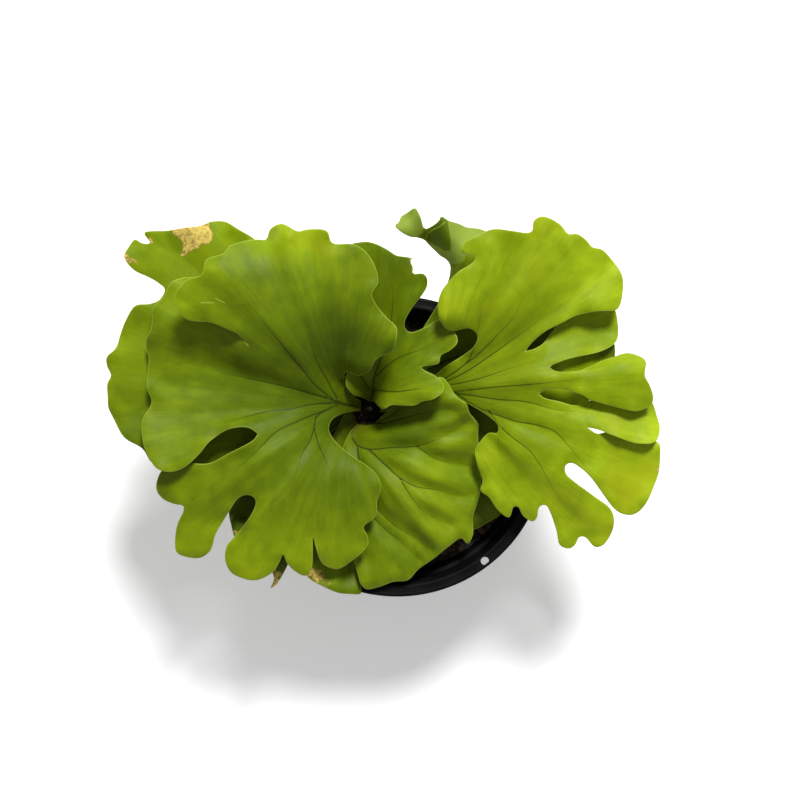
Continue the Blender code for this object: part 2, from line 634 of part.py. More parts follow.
def inside(places, outline):
    """Which places lie inside a closed outline."""
    x, y = places[:, 0][:, None], places[:, 1][:, None]
    x0, y0 = outline[:, 0], outline[:, 1]
    x1, y1 = np.roll(x0, -1), np.roll(y0, -1)
    crosses = (y0 > y) != (y1 > y)
    rise = np.where(y1 == y0, 1e-12, y1 - y0)
    return (crosses & (x < x0 + (y - y0) * (x1 - x0) / rise)).sum(axis=1) % 2 == 1


def nearest(places, points):
    return np.linalg.norm(places[:, None] - points[None], axis=2).min(axis=1)


def inner_points(outline):
    """A triangular grid of points inside the outline, clear of its edge."""
    low, high = outline.min(axis=0), outline.max(axis=0)
    rows = []
    for row, y in enumerate(np.arange(low[1], high[1], INNER_STEP * 0.866)):
        shift = INNER_STEP / 2 * (row % 2)
        rows += [(x, y) for x in np.arange(low[0] + shift, high[0], INNER_STEP)]
    grid = np.array(rows)
    grid = grid[inside(grid, outline)]
    if len(grid) == 0:
        return grid.reshape(0, 2)
    return grid[nearest(grid, outline) > 0.55 * INNER_STEP]


def lobe_height(frond, number, places, borders):
    """Heights on one lobe. Close to a seam they are the ones that the whole frond shares."""
    shared = height_surface(frond["heights"])(places)
    if not borders:
        return shared
    own = height_surface(frond["heights"] + frond["lobes"][number]["heights"])(places)
    away = np.clip(nearest(places, np.concatenate(borders)) / SEAM_BLEND, 0.0, 1.0)
    weight = away * away * (3 - 2 * away)
    return shared * (1 - weight) + own * weight


def add_lobe(bm, frond, number):
    """Fills one lobe with triangles and lifts it to its heights."""
    outline, borders = lobe_outline(frond, number)
    flat = np.concatenate([outline, inner_points(outline)])
    count = len(outline)
    edges = [(i, (i + 1) % count) for i in range(count)]
    places, _, faces, _, _, _ = delaunay_2d_cdt([tuple(p) for p in flat], edges, [], 1, 1e-5)
    places = np.array([tuple(place) for place in places])
    heights = lobe_height(frond, number, places, borders)
    verts = [bm.verts.new((x, y, POT_HEIGHT + z)) for (x, y), z in zip(places, heights)]
    for face in faces:
        bm.faces.new([verts[i] for i in face])


def add_frond(name, frond):
    bm = bmesh.new()
    for number in range(len(frond["lobes"])):
        add_lobe(bm, frond, number)
    bmesh.ops.remove_doubles(bm, verts=bm.verts, dist=0.01)
    kind = name.split("_")[0]
    leaf = add_object(name, bm, COLOURS[kind], 0.5)
    solid = leaf.modifiers.new("thickness", "SOLIDIFY")
    solid.thickness = LEAF_THICKNESS * MM
    solid.offset = 0.0
    solid.use_even_offset = False


def build():
    clear_scene()
    add_pot()
    add_potting_mix()
    add_crown()
    add_new_bud()
    for number, chip in enumerate(CHIPS):
        add_bark_chip(f"bark_chip_{number + 1}", *chip)
    for name, frond in FRONDS.items():
        add_frond(name, frond)


build()
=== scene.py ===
"""A potted staghorn fern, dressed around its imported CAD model.

The pot, the potting mix, the bark chips, the crown with its bud and the two kinds of frond each have their
own operator. Leaves are drawn in plan, in millimetres from the pot's axis, and lifted to heights counted from
the pot's rim. Lengths in capitals are in millimetres too.
"""
import math
import random
from typing import NamedTuple

import bmesh
import bpy
import numpy as np
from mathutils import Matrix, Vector, noise
from mathutils.geometry import delaunay_2d_cdt


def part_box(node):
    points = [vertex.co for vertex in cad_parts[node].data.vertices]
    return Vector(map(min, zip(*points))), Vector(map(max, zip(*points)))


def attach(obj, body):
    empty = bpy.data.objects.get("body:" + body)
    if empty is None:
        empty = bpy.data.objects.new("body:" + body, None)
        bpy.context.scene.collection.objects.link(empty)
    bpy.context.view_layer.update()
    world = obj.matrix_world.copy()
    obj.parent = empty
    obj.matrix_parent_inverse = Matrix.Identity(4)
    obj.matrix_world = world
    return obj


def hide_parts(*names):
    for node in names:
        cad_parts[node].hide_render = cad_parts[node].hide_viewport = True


bl_info = {
    "name": "Potted Staghorn Fern",
    "version": (1, 0, 0),
    "blender": (4, 5, 0),
    "location": "View3D > Sidebar > Fern",
    "description": "Builds a potted staghorn fern, piece by piece, around its CAD model",
    "category": "Object",
}

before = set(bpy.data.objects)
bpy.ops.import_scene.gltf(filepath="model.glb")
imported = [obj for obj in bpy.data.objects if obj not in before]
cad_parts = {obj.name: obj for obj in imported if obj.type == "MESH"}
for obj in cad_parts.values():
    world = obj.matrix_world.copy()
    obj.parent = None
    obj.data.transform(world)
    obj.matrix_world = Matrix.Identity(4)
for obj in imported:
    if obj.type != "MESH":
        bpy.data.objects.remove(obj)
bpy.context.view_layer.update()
BODY = "root"

MM = 0.001
TO_MM = 1000.0
SEED = 11
POT_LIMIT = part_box("pot")[1]
RIM_TOP = POT_LIMIT.z * TO_MM


def srgb(red, green, blue):
    """A display colour given in 0..255 as the linear colour that shaders use."""
    shares = (value / 255 for value in (red, green, blue))
    return tuple(((share + 0.055) / 1.055) ** 2.4 if share > 0.04045 else share / 12.92 for share in shares)


def colour_property(name, description, red, green, blue):
    return bpy.props.FloatVectorProperty(
        name=name, description=description, subtype="COLOR", size=3, min=0.0, max=1.0,
        default=srgb(red, green, blue),
    )


def number_property(name, description, default, **kind):
    return bpy.props.FloatProperty(name=name, description=description, default=default, **kind)


def length_property(name, description, default):
    return number_property(name, description, default, unit="LENGTH", precision=5)


def angle_property(name, description, degrees):
    return number_property(name, description, math.radians(degrees), subtype="ANGLE")


def count_property(name, description, default):
    return bpy.props.IntProperty(name=name, description=description, default=default, min=0)


# ---- settings --------------------------------------------------------------------------------------------

class FERN_PG_pot(bpy.types.PropertyGroup):
    """Sizes and finish of the nursery pot."""

    rim_radius: length_property("Rim radius", "Outer radius of the pot's flange", POT_LIMIT.x)
    height: length_property("Height", "From the ground to the top of the rim", POT_LIMIT.z)
    base_radius: length_property("Base radius", "Radius of the pot's foot", 54 * MM)
    wall: length_property("Wall", "Thickness of the moulded wall", 1.2 * MM)
    plastic: colour_property("Plastic", "Black moulded plastic", 6, 6, 6)
    scuff: colour_property("Scuff", "Plastic where it is rubbed or dusty", 17, 18, 17)


class FERN_PG_mix(bpy.types.PropertyGroup):
    """Size and finish of the bark mix."""

    flakes: count_property("Flakes", "Loose flakes of bark on the mix", 230)
    fibres: count_property("Fibres", "Loose coir fibres on the mix", 90)
    # Both mix colours are very dark: partly the damp mix's own colour, partly painted shade from inside the
    # pot under the fronds.
    dark: colour_property("Damp mix", "Colour in the hollows of the mix", 12, 8, 6)
    light: colour_property("Dry mix", "Colour of the mix's dry crumbs", 34, 25, 17)
    bark: colour_property("Bark", "Colour of a bark chip's outside", 58, 40, 27)
    bark_inside: colour_property("Broken bark", "Colour of freshly broken bark", 92, 62, 40)


class FERN_PG_leaf(bpy.types.PropertyGroup):
    """Sizes and finish of the fronds."""

    thickness: length_property("Thickness", "Thickness of a leaf away from its margin", 0.9 * MM)
    mesh_step: length_property("Mesh step", "Distance between the points that a leaf is built from", 2.2 * MM)
    ruffle: length_property("Ruffle", "Height of the waves along a frond's margin", 0.7 * MM)
    pleat: length_property("Pleat", "Height of the soft folds that spread from a frond's foot", 1.0 * MM)
    pillow: length_property("Pillow", "How far a fertile frond swells between its veins", 0.4 * MM)
    shield_pillow: length_property("Shield pillow", "How far a shield frond swells between veins", 3.2 * MM)
    # The greens from deep to young make the ramp that the tones run along, so the painted light and shade in
    # the tones also come out in these colours.
    deep: colour_property("Deep green", "The oldest, darkest green", 62, 80, 0)
    middle: colour_property("Middle green", "The usual green of a grown leaf", 86, 106, 0)
    light: colour_property("Light green", "Green of the soft lobes", 114, 136, 2)
    young: colour_property("Young tip", "Yellow-green of the youngest tips", 150, 170, 18)
    bronze: colour_property("Bronze", "Warm tint in the youngest parts", 140, 142, 6)
    vein: colour_property("Vein", "Dark line of a vein", 34, 44, 2)
    margin: colour_property("Margin", "Thin pale line along a leaf's edge", 160, 176, 70)
    underside: colour_property("Underside", "Pale down on the back of a leaf", 120, 138, 50)
    stalk: colour_property("Stalk", "Red-brown foot of a frond", 56, 38, 12)
    straw: colour_property("Straw", "Yellow of a dried patch", 204, 182, 92)
    scorch: colour_property("Scorch", "Brown of a dead margin", 100, 66, 32)


class FERN_PG_crown(bpy.types.PropertyGroup):
    """Size and finish of the crown and its bud."""

    scales: count_property("Scales", "Papery scales on the crown", 260)
    scale_length: length_property("Scale length", "Length of one papery scale", 3.6 * MM)
    dark: colour_property("Crown", "Dark felt of the crown", 18, 13, 9)
    light: colour_property("Scale", "Colour of the papery scales", 52, 38, 24)
    bud: colour_property("Bud", "Green under the bud's down", 36, 30, 15)
    down: colour_property("Down", "Pale down on the bud", 42, 36, 22)


class FERN_PG_stage(bpy.types.PropertyGroup):
    """Camera, lights and floor."""

    camera_height: length_property("Camera height", "Height of the camera above the floor", 0.72)
    camera_x: length_property("Camera across", "Place of the camera along X", 0.0016)
    camera_y: length_property("Camera along", "Place of the camera along Y", 0.0247)
    lens: number_property("Lens", "Focal length in millimetres", 50.79, unit="CAMERA")
    key_power: number_property("Key light", "Power of the main light", 42, unit="POWER")
    key_bearing: angle_property("Key bearing", "Direction of the main light, from +X", 76)
    key_rise: angle_property("Key height", "Angle of the main light above the floor", 54)
    key_size: length_property("Key size", "Width of the main light's panel", 0.4)
    key_distance: length_property("Key distance", "From the pot to the main light", 1.7)
    sky: number_property("Sky", "Strength of the light from all round", 0.4)
    floor: colour_property("Floor", "Colour of the pale floor", 244, 244, 244)
    floor_glow: number_property("Floor glow", "Light that the floor gives by itself", 0.26)


# ---- shader nodes ----------------------------------------------------------------------------------------

class Value:
    """A socket that takes part in sums: each operator adds the Math node that does it."""

    def __init__(self, finish, socket):
        self.finish = finish
        self.socket = socket

    def math(self, operation, first, second=0.0):
        return self.finish.node("ShaderNodeMath", {"operation": operation}, {0: first, 1: second})

    def __add__(self, other):
        return self.math("ADD", self, other)

    def __sub__(self, other):
        return self.math("SUBTRACT", self, other)

    def __rsub__(self, other):
        return self.math("SUBTRACT", other, self)

    def __mul__(self, other):
        return self.math("MULTIPLY", self, other)

    def __pow__(self, other):
        return self.math("POWER", self, other)

    __radd__ = __add__
    __rmul__ = __mul__


class Finish:
    """One procedural material. Everything but sums of values comes from its node method."""

    def __init__(self, name):
        self.material = bpy.data.materials.new(name)
        self.material.use_nodes = True
        self.tree = self.material.node_tree
        self.shader = self.tree.nodes["Principled BSDF"]

    def feed(self, socket, value):
        if isinstance(value, Value):
            self.tree.links.new(value.socket, socket)
        elif socket.type == "RGBA":
            socket.default_value = (*value[:3], 1.0)
        else:
            socket.default_value = value

    def node(self, kind, settings=None, inputs=None, output=0):
        """Adds a node: its settings first, then a value or a link for each named or numbered socket."""
        node = self.tree.nodes.new(kind)
        for name, setting in (settings or {}).items():
            if name == "stops":
                self.set_stops(node.color_ramp, setting)
            else:
                setattr(node, name, setting)
        for key, value in (inputs or {}).items():
            self.feed(node.inputs[key], value)
        return Value(self, node.outputs[output])

    def set_stops(self, ramp, stops):
        while len(ramp.elements) < len(stops):
            ramp.elements.new(1.0)
        for element, (position, colour) in zip(ramp.elements, stops):
            element.position = position
            element.color = (*colour, 1.0)

    def surface(self, inputs):
        """Sets or links the named sockets of the Principled shader. Returns the material."""
        for name, value in inputs.items():
            self.feed(self.shader.inputs[name], value)
        return self.material

    def attribute(self, name, output="Fac"):
        return self.node("ShaderNodeAttribute", {"attribute_name": name}, output=output)

    def place(self):
        """The place on the object, in millimetres."""
        metres = self.node("ShaderNodeTexCoord", output="Object")
        return self.node("ShaderNodeVectorMath", {"operation": "SCALE"}, {0: metres, "Scale": TO_MM})

    def stretch(self, vector, scale):
        return self.node("ShaderNodeVectorMath", {"operation": "MULTIPLY"}, {0: vector, 1: scale})

    def noise(self, vector, size, detail=2.0, rough=0.5):
        inputs = {"Vector": vector, "Scale": 1 / size, "Detail": detail, "Roughness": rough}
        return self.node("ShaderNodeTexNoise", None, inputs)

    def cells(self, vector, size, output="Distance"):
        return self.node("ShaderNodeTexVoronoi", None, {"Vector": vector, "Scale": 1 / size}, output)

    def step(self, value, low, high):
        """0 below low, 1 above high, and smooth between."""
        inputs = {"Value": value, "From Min": low, "From Max": high}
        return self.node("ShaderNodeMapRange", {"interpolation_type": "SMOOTHSTEP"}, inputs)

    def mix(self, factor, first, second):
        return self.node("ShaderNodeMix", {"data_type": "RGBA"}, {0: factor, 6: first, 7: second}, 2)

    def ramp(self, value, *stops):
        return self.node("ShaderNodeValToRGB", {"stops": stops}, {0: value})

    def bump(self, height, depth, strength=1.0):
        """A bump as deep as given, in millimetres, for a height between 0 and 1."""
        inputs = {"Strength": strength, "Distance": depth * MM, "Height": height}
        return self.node("ShaderNodeBump", None, inputs)


def shade(colour, factor):
    """The colour made darker, or lighter by a factor above 1."""
    return tuple(value * factor for value in colour)


def plastic_material(settings):
    """Black moulded plastic with faint turning rings, dust and rubbed edges."""
    plastic = Finish("pot_plastic")
    place = plastic.place()
    flat = plastic.stretch(place, (1.0, 1.0, 0.0))
    reach = plastic.node("ShaderNodeVectorMath", {"operation": "LENGTH"}, {0: flat}, "Value")
    height = plastic.node("ShaderNodeSeparateXYZ", None, {0: place}, "Z")
    turned = plastic.node("ShaderNodeCombineXYZ", None, {"X": reach, "Z": height})
    rings = plastic.noise(turned, size=0.8, detail=2.0, rough=0.6)
    cloud = plastic.noise(place, size=18.0, detail=4.0, rough=0.6)
    grit = plastic.noise(place, size=0.5, detail=2.0)
    worn = plastic.step(cloud + rings * 0.35 + grit * 0.15, 0.62, 0.95)
    base = plastic.mix(worn * 0.75, settings.plastic, settings.scuff)
    relief = rings * 0.6 + grit * 0.4
    return plastic.surface({
        "Base Color": base, "Roughness": 0.42 + worn * 0.2 + grit * 0.1, "Specular IOR Level": 0.07,
        "Normal": plastic.bump(relief, depth=0.06, strength=0.4),
    })


def mix_material(settings):
    """Damp bark mix with brown crumbs, painted darker where its bump is low: painted shade in the hollows."""
    crumbs = Finish("bark_mix")
    place = crumbs.place()
    cloud = crumbs.noise(place, size=6.0, detail=5.0, rough=0.65)
    grain = crumbs.cells(place, size=1.6)
    tone = cloud + grain * 0.35
    # The noise that raises the bump also lightens the colour, so the hollows are darker: painted shade.
    base = crumbs.ramp(
        tone, (0.35, shade(settings.dark, 0.6)), (0.52, settings.dark), (0.68, settings.light),
        (0.85, settings.bark_inside),
    )
    return crumbs.surface({
        "Base Color": base, "Roughness": 0.96 - cloud * 0.15,
        "Normal": crumbs.bump(grain + cloud, depth=0.9, strength=0.8),
    })


def bark_material(settings):
    """Pine bark: layered, grey-brown outside and redder where it is broken."""
    bark = Finish("bark")
    place = bark.place()
    layers = bark.noise(bark.stretch(place, (0.35, 0.35, 2.6)), size=1.4, detail=4.0, rough=0.6)
    cloud = bark.noise(place, size=5.0, detail=3.0)
    base = bark.ramp(
        layers * 0.7 + cloud * 0.4, (0.3, shade(settings.bark, 0.3)), (0.5, settings.bark),
        (0.66, settings.bark_inside), (0.85, shade(settings.bark_inside, 1.3)),
    )
    return bark.surface({
        "Base Color": base, "Roughness": 0.9 - layers * 0.12,
        "Normal": bark.bump(layers, depth=0.6, strength=0.9),
    })


def crown_material(settings):
    """Dark felted rhizome with brown scales that pale towards their tips."""
    felt = Finish("crown_fuzz")
    place = felt.place()
    tip = felt.attribute("tip")
    cloud = felt.noise(place, size=1.6, detail=4.0, rough=0.6)
    hairs = felt.noise(felt.stretch(place, (3.0, 3.0, 0.5)), size=0.5, detail=2.0)
    base = felt.ramp(
        tip * 0.75 + cloud * 0.35, (0.1, shade(settings.dark, 0.5)), (0.35, settings.dark),
        (0.7, settings.light), (1.0, shade(settings.light, 1.9)),
    )
    return felt.surface({
        "Base Color": base, "Roughness": 0.92 - tip * 0.15, "Specular IOR Level": 0.15,
        "Normal": felt.bump(hairs, depth=0.4, strength=0.8),
    })


def bud_material(settings):
    """Young frond under patchy down. The down is painted on more towards the top of the bud: partly its own
    spread, partly a painted highlight.
    """
    bud = Finish("bud_down")
    place = bud.place()
    down = bud.noise(bud.stretch(place, (2.0, 2.0, 0.6)), size=0.35, detail=3.0, rough=0.6)
    tip = bud.attribute("tip")
    # The share of the bud's height brings out more down towards its top: partly the down's own spread, partly
    # a painted highlight.
    base = bud.mix(bud.step(down + tip * 0.2, 0.42, 0.7), settings.bud, settings.down)
    return bud.surface({
        "Base Color": base, "Roughness": 0.75 + down * 0.2, "Specular IOR Level": 0.1,
        "Normal": bud.bump(down, depth=0.3, strength=0.8),
    })


def leaf_green(leaf, settings, place, mottle, streak, nerve):
    """Green that pales towards the young parts, with a warm tint in the youngest. The same values also hold
    painted light and painted shade, so the green is paler where light is painted and darker where shade is
    painted.
    """
    # The tone attribute is partly the leaf's age and partly painted light and shade.
    youth = leaf.attribute("youth")
    tone = youth + mottle * 0.42 + streak * 0.36 + nerve * 0.16 - 0.47
    green = leaf.ramp(
        tone, (0.0, settings.deep), (0.34, settings.middle), (0.66, settings.light), (1.0, settings.young),
    )
    warmth = leaf.noise(place, size=26.0, detail=3.0, rough=0.5) + streak * 0.25
    return leaf.mix(leaf.step(warmth, 0.6, 0.86) * youth ** 2.0 * 0.7, green, settings.bronze)


def with_veins(leaf, settings, green):
    """Adds dark vein lines, and round them a soft darker band that paints the shade in the valleys the veins
    lie in. Both thin out towards the ends of the veins.
    """
    fade = 1 - leaf.attribute("vein_share")
    gap = leaf.attribute("vein_gap") * -1
    # Painted shade: a soft darker band along each vein, for the valley that it lies in.
    painted_vein_shade = leaf.step(gap, fade * -2.6 - 0.4, 0.2)
    green = leaf.mix(painted_vein_shade * fade ** 2.0 * 0.4, green, settings.deep)
    line = leaf.step(gap, fade * -0.55 - 0.2, fade * -0.16)
    return leaf.mix(line * leaf.step(fade, 0.0, 0.4) * 0.85, green, settings.vein)


def dried(leaf, settings, place, mottle):
    """Where the leaf has dried, and the colour that it has there: straw, with brown spots."""
    speckle = leaf.noise(place, size=1.8, detail=3.0, rough=0.7)
    dryness = leaf.attribute("dry") + mottle * 0.4 + speckle * 0.7 - 0.55
    dead = leaf.ramp(
        dryness, (0.42, shade(settings.scorch, 0.9)), (0.52, shade(settings.straw, 0.62)),
        (0.66, settings.straw), (0.95, shade(settings.straw, 0.9)),
    )
    char = leaf.noise(place, size=1.7, detail=4.0, rough=0.7)
    dead = leaf.mix(leaf.step(char, 0.42, 0.7) * 0.75, dead, settings.scorch)
    return leaf.step(dryness, 0.4, 0.56), dead


def leaf_material(name, settings):
    """Fern leaf: veined green with a pale margin, a brown foot, a downy underside and dried patches. Its
    colour also holds painted light and shade: from the frond's tones, in a darker band along the veins and in
    streaks that follow the fine folds.
    """
    leaf = Finish(name)
    place = leaf.place()
    fan = leaf.attribute("fan", "Vector")
    mottle = leaf.noise(place, size=9.0, detail=4.0, rough=0.55)
    fine = leaf.noise(place, size=0.8, detail=2.0, rough=0.6)
    streak = leaf.noise(fan, size=1.0, detail=3.0, rough=0.6)
    nerve = leaf.noise(leaf.stretch(fan, (5.0, 0.8, 1.0)), size=1.0, detail=2.0, rough=0.6)
    # The streak and nerve noises that raise the bump also lighten the green: partly the leaf's own streaky
    # colour, partly painted light on the fine folds and painted shade in their grooves.
    green = leaf_green(leaf, settings, place, mottle, streak, nerve)
    green = with_veins(leaf, settings, green)
    edge = 1 - leaf.step(leaf.attribute("edge"), 0.1, 0.5)
    green = leaf.mix(edge * 0.5, green, settings.margin)
    green = leaf.mix(leaf.attribute("foot") * 0.8 + mottle * 0.1 - 0.05, green, settings.stalk)
    side = leaf.attribute("side")
    green = leaf.mix(side * 0.7, green, settings.underside)
    turned = leaf.step(leaf.attribute("turned"), -0.3, 0.3)
    green = leaf.mix(turned * 0.85, green, settings.underside)
    dry, dead = dried(leaf, settings, place, mottle)
    relief = fine * 0.3 + streak * 0.45 + nerve * 0.25
    return leaf.surface({
        "Base Color": leaf.mix(dry, green, dead),
        "Roughness": 0.48 + mottle * 0.14 + dry * 0.25 + side * 0.15,
        "Subsurface Weight": 0.2, "Subsurface Radius": (1.0, 1.0, 0.25), "Subsurface Scale": 1.2 * MM,
        "Specular IOR Level": 0.12, "Normal": leaf.bump(relief, depth=0.28, strength=0.4),
    })


def floor_material(settings):
    """Pale seamless paper."""
    paper = Finish("paper")
    grain = paper.noise(paper.place(), size=30.0, detail=3.0)
    base = paper.mix(grain * 0.1, settings.floor, shade(settings.floor, 0.9))
    return paper.surface({
        "Base Color": base, "Roughness": 0.9, "Normal": paper.bump(grain, depth=0.1, strength=0.2),
        "Emission Color": settings.floor, "Emission Strength": settings.floor_glow,
    })


# ---- making pieces ---------------------------------------------------------------------------------------

MERGE_GAP = 0.005


def add_piece(name, mesh, material, slot, *nodes):
    """Links a mesh as a piece that rides on the pot, takes the given material as its finish and stands for
    its CAD nodes. The slot is not used.
    """
    mesh.materials.clear()
    mesh.materials.append(material)
    mesh.shade_smooth()
    piece = bpy.data.objects.new(name, mesh)
    bpy.context.scene.collection.objects.link(piece)
    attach(piece, BODY)
    if nodes:
        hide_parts(*nodes)
    return piece


def mesh_from(name, bm):
    """Turns a bmesh in millimetres into a mesh in metres."""
    bmesh.ops.recalc_face_normals(bm, faces=bm.faces)
    bmesh.ops.scale(bm, vec=(MM, MM, MM), verts=bm.verts)
    mesh = bpy.data.meshes.new(name)
    bm.to_mesh(mesh)
    bm.free()
    return mesh


def add_solid(name, bm, material, slot, *nodes):
    """Adds a bmesh in millimetres as a piece."""
    return add_piece(name, mesh_from(name, bm), material, slot, *nodes)


def skin(bm, rings):
    """Joins rings of equally many points into a closed body with a face at each end."""
    for low, high in zip(rings, rings[1:]):
        for i in range(len(low)):
            bm.faces.new((low[i - 1], low[i], high[i], high[i - 1]))
    bm.faces.new(rings[0])
    bm.faces.new(rings[-1])


def polar(bearing, reach):
    """The point at a bearing in degrees and a distance from the axis."""
    angle = math.radians(bearing)
    return reach * math.cos(angle), reach * math.sin(angle)


def ripple(point, size, seed=0.0):
    """Smooth noise between about -1 and 1 whose bumps are about size millimetres wide."""
    return noise.noise(Vector(point) / size + Vector((seed, seed * 0.7, seed * 1.3)))


def spin(bm, profile, steps):
    """Turns a closed (radius, height) section about the upright axis."""
    ring = [bm.verts.new((radius, 0.0, height)) for radius, height in profile]
    edges = [bm.edges.new((ring[i - 1], ring[i])) for i in range(len(ring))]
    bmesh.ops.spin(
        bm, geom=ring + edges, cent=(0, 0, 0), axis=(0, 0, 1), angle=2 * math.pi, steps=steps, use_merge=True,
    )
    bmesh.ops.remove_doubles(bm, verts=bm.verts, dist=MERGE_GAP)
    bmesh.ops.dissolve_degenerate(bm, edges=bm.edges, dist=MERGE_GAP)


# ---- pot -------------------------------------------------------------------------------------------------

LIP_DROP = 3.6
FLANGE_INNER_RADIUS = 73.6
COLLAR_DEPTH = 12.0
LEDGE_OUTER_RADIUS = 72.2
LEDGE_INNER_RADIUS = 70.0
BASE_THICKNESS = 2.4
FOOT_OUTER_INSET = 1.0
FOOT_INNER_INSET = 3.2
RECESS_INSET = 3.8
RECESS_HEIGHT = 0.8
EDGE_ROUNDING = 0.6
CORNER_RADIUS = 0.3
CENTRE_RADIUS = 0.5
POT_STEPS = 160
POT_SHARP_ANGLE = 40
HOLE_SEGMENTS = 28
HOLE_SPARE = 1.0
FLANGE_CUT = 3.0
HANGER_HOLE_RADIUS = 2.2
HANGER_HOLE_REACH = 76.8
HANGER_HOLE_ANGLES = (37.5, 127.5, 217.5, 307.5)
DRAIN_HOLE_RADIUS = 5.0
DRAIN_HOLE_REACH = 38.0
DRAIN_HOLES = 8
FLANGE_RINGS = (75.0, 78.6)
RING_HEIGHT = 0.12
RING_HALF_WIDTH = 0.35
WALL_RIBS = (18.0, 96.0)
RIB_DEPTH = 0.35
# Down a rib: the height from its middle and the depth under the wall's face.
RIB_SECTION = ((2.0, 0.0), (1.4, RIB_DEPTH), (-1.4, RIB_DEPTH), (-2.0, 0.1))


def rounded(points, radius):
    """The points of a section with each corner turned into three points about radius apart."""
    corners = [Vector(point) for point in points]
    result = []
    for i, corner in enumerate(corners):
        before = corners[i - 1] - corner
        after = corners[(i + 1) % len(corners)] - corner
        reach = min(radius, before.length * 0.4, after.length * 0.4)
        first, last = corner + before.normalized() * reach, corner + after.normalized() * reach
        result += [first, corner * 0.5 + (first + last) * 0.25, last]
    return [tuple(point) for point in result]


def wall_radius(settings, z, inner):
    """Radius of the pot's wall at height z, below the ledge, in millimetres."""
    height, wall = settings.height * TO_MM, settings.wall * TO_MM
    share = z / (height - COLLAR_DEPTH)
    base = settings.base_radius * TO_MM
    outside = base + (LEDGE_INNER_RADIUS + wall - base) * share
    return outside - wall if inner else outside


def flange_section(top, rim):
    """The flange's top from its inner to its outer edge, with its two raised rings."""
    points = [(FLANGE_INNER_RADIUS + 0.5, top - 0.1)]
    for ring in FLANGE_RINGS:
        low = top - RING_HEIGHT
        points += [(ring - 2 * RING_HALF_WIDTH, low), (ring - RING_HALF_WIDTH, top)]
        points += [(ring + RING_HALF_WIDTH, top), (ring + 2 * RING_HALF_WIDTH, low)]
    points.append((rim - 0.5, top - 0.1))
    return points


def pot_section(settings):
    """Half section of the pot: over the flange, down the outside, across the base and up the inside."""
    top, rim = settings.height * TO_MM, settings.rim_radius * TO_MM
    wall = settings.wall * TO_MM
    base = settings.base_radius * TO_MM
    ledge = top - COLLAR_DEPTH
    outside = []
    for rib in sorted(WALL_RIBS, reverse=True):
        radius = wall_radius(settings, rib, False)
        outside += [(radius - depth, rib + rise) for rise, depth in RIB_SECTION]
    return rounded([
        (FLANGE_INNER_RADIUS, top - EDGE_ROUNDING),
        *flange_section(top, rim),
        (rim, top - EDGE_ROUNDING),
        (rim, top - LIP_DROP),
        (rim - wall, top - LIP_DROP),
        (rim - wall, top - wall),
        (FLANGE_INNER_RADIUS + wall, top - wall),
        (LEDGE_OUTER_RADIUS + wall, ledge - wall),
        (LEDGE_INNER_RADIUS + wall, ledge - wall - EDGE_ROUNDING),
        *outside,
        (base + 0.4, 1.5),
        (base - FOOT_OUTER_INSET, 0.0),
        (base - FOOT_INNER_INSET, 0.0),
        (base - RECESS_INSET, RECESS_HEIGHT),
        (CENTRE_RADIUS, RECESS_HEIGHT),
        (CENTRE_RADIUS, BASE_THICKNESS),
        (base - wall - EDGE_ROUNDING, BASE_THICKNESS),
        (base - wall, BASE_THICKNESS + 0.8),
        (LEDGE_INNER_RADIUS, ledge),
        (LEDGE_OUTER_RADIUS, ledge + EDGE_ROUNDING),
    ], CORNER_RADIUS)


def bore(pot, name, radius, x, y, low, high):
    """Adds a Boolean cut for one round hole through the pot and returns the cutter, which the caller throws
    away.
    """
    bm = bmesh.new()
    bmesh.ops.create_cone(
        bm, cap_ends=True, segments=HOLE_SEGMENTS, radius1=radius, radius2=radius, depth=high - low,
    )
    bmesh.ops.translate(bm, vec=(x, y, (low + high) / 2), verts=bm.verts)
    cutter = bpy.data.objects.new(name, mesh_from(name, bm))
    bpy.context.scene.collection.objects.link(cutter)
    cut = pot.modifiers.new(name, "BOOLEAN")
    cut.solver = "EXACT"
    cut.object = cutter
    return cutter


def apply_modifiers(piece):
    """Gives the piece the mesh that its modifiers make, and removes them."""
    bpy.context.view_layer.update()
    shown = piece.evaluated_get(bpy.context.evaluated_depsgraph_get())
    mesh = bpy.data.meshes.new_from_object(shown)
    piece.modifiers.clear()
    piece.data = mesh


def make_pot(settings):
    """The turned pot with its hanger and drain holes bored through."""
    bm = bmesh.new()
    spin(bm, pot_section(settings), POT_STEPS)
    pot = add_solid("nursery_pot", bm, plastic_material(settings), "pot_plastic", "pot")
    top = settings.height * TO_MM
    flange = (top - FLANGE_CUT, top + HOLE_SPARE)
    base = (-HOLE_SPARE, BASE_THICKNESS + HOLE_SPARE)
    cutters = []
    for bearing in HANGER_HOLE_ANGLES:
        at = polar(bearing, HANGER_HOLE_REACH)
        cutters.append(bore(pot, "hanger_hole", HANGER_HOLE_RADIUS, *at, *flange))
    for number in range(DRAIN_HOLES):
        at = polar(number * 360 / DRAIN_HOLES, DRAIN_HOLE_REACH)
        cutters.append(bore(pot, "drain_hole", DRAIN_HOLE_RADIUS, *at, *base))
    apply_modifiers(pot)
    for cutter in cutters:
        bpy.data.objects.remove(cutter)
    pot.data.set_sharp_from_angle(angle=math.radians(POT_SHARP_ANGLE))


# ---- potting mix -----------------------------------------------------------------------------------------

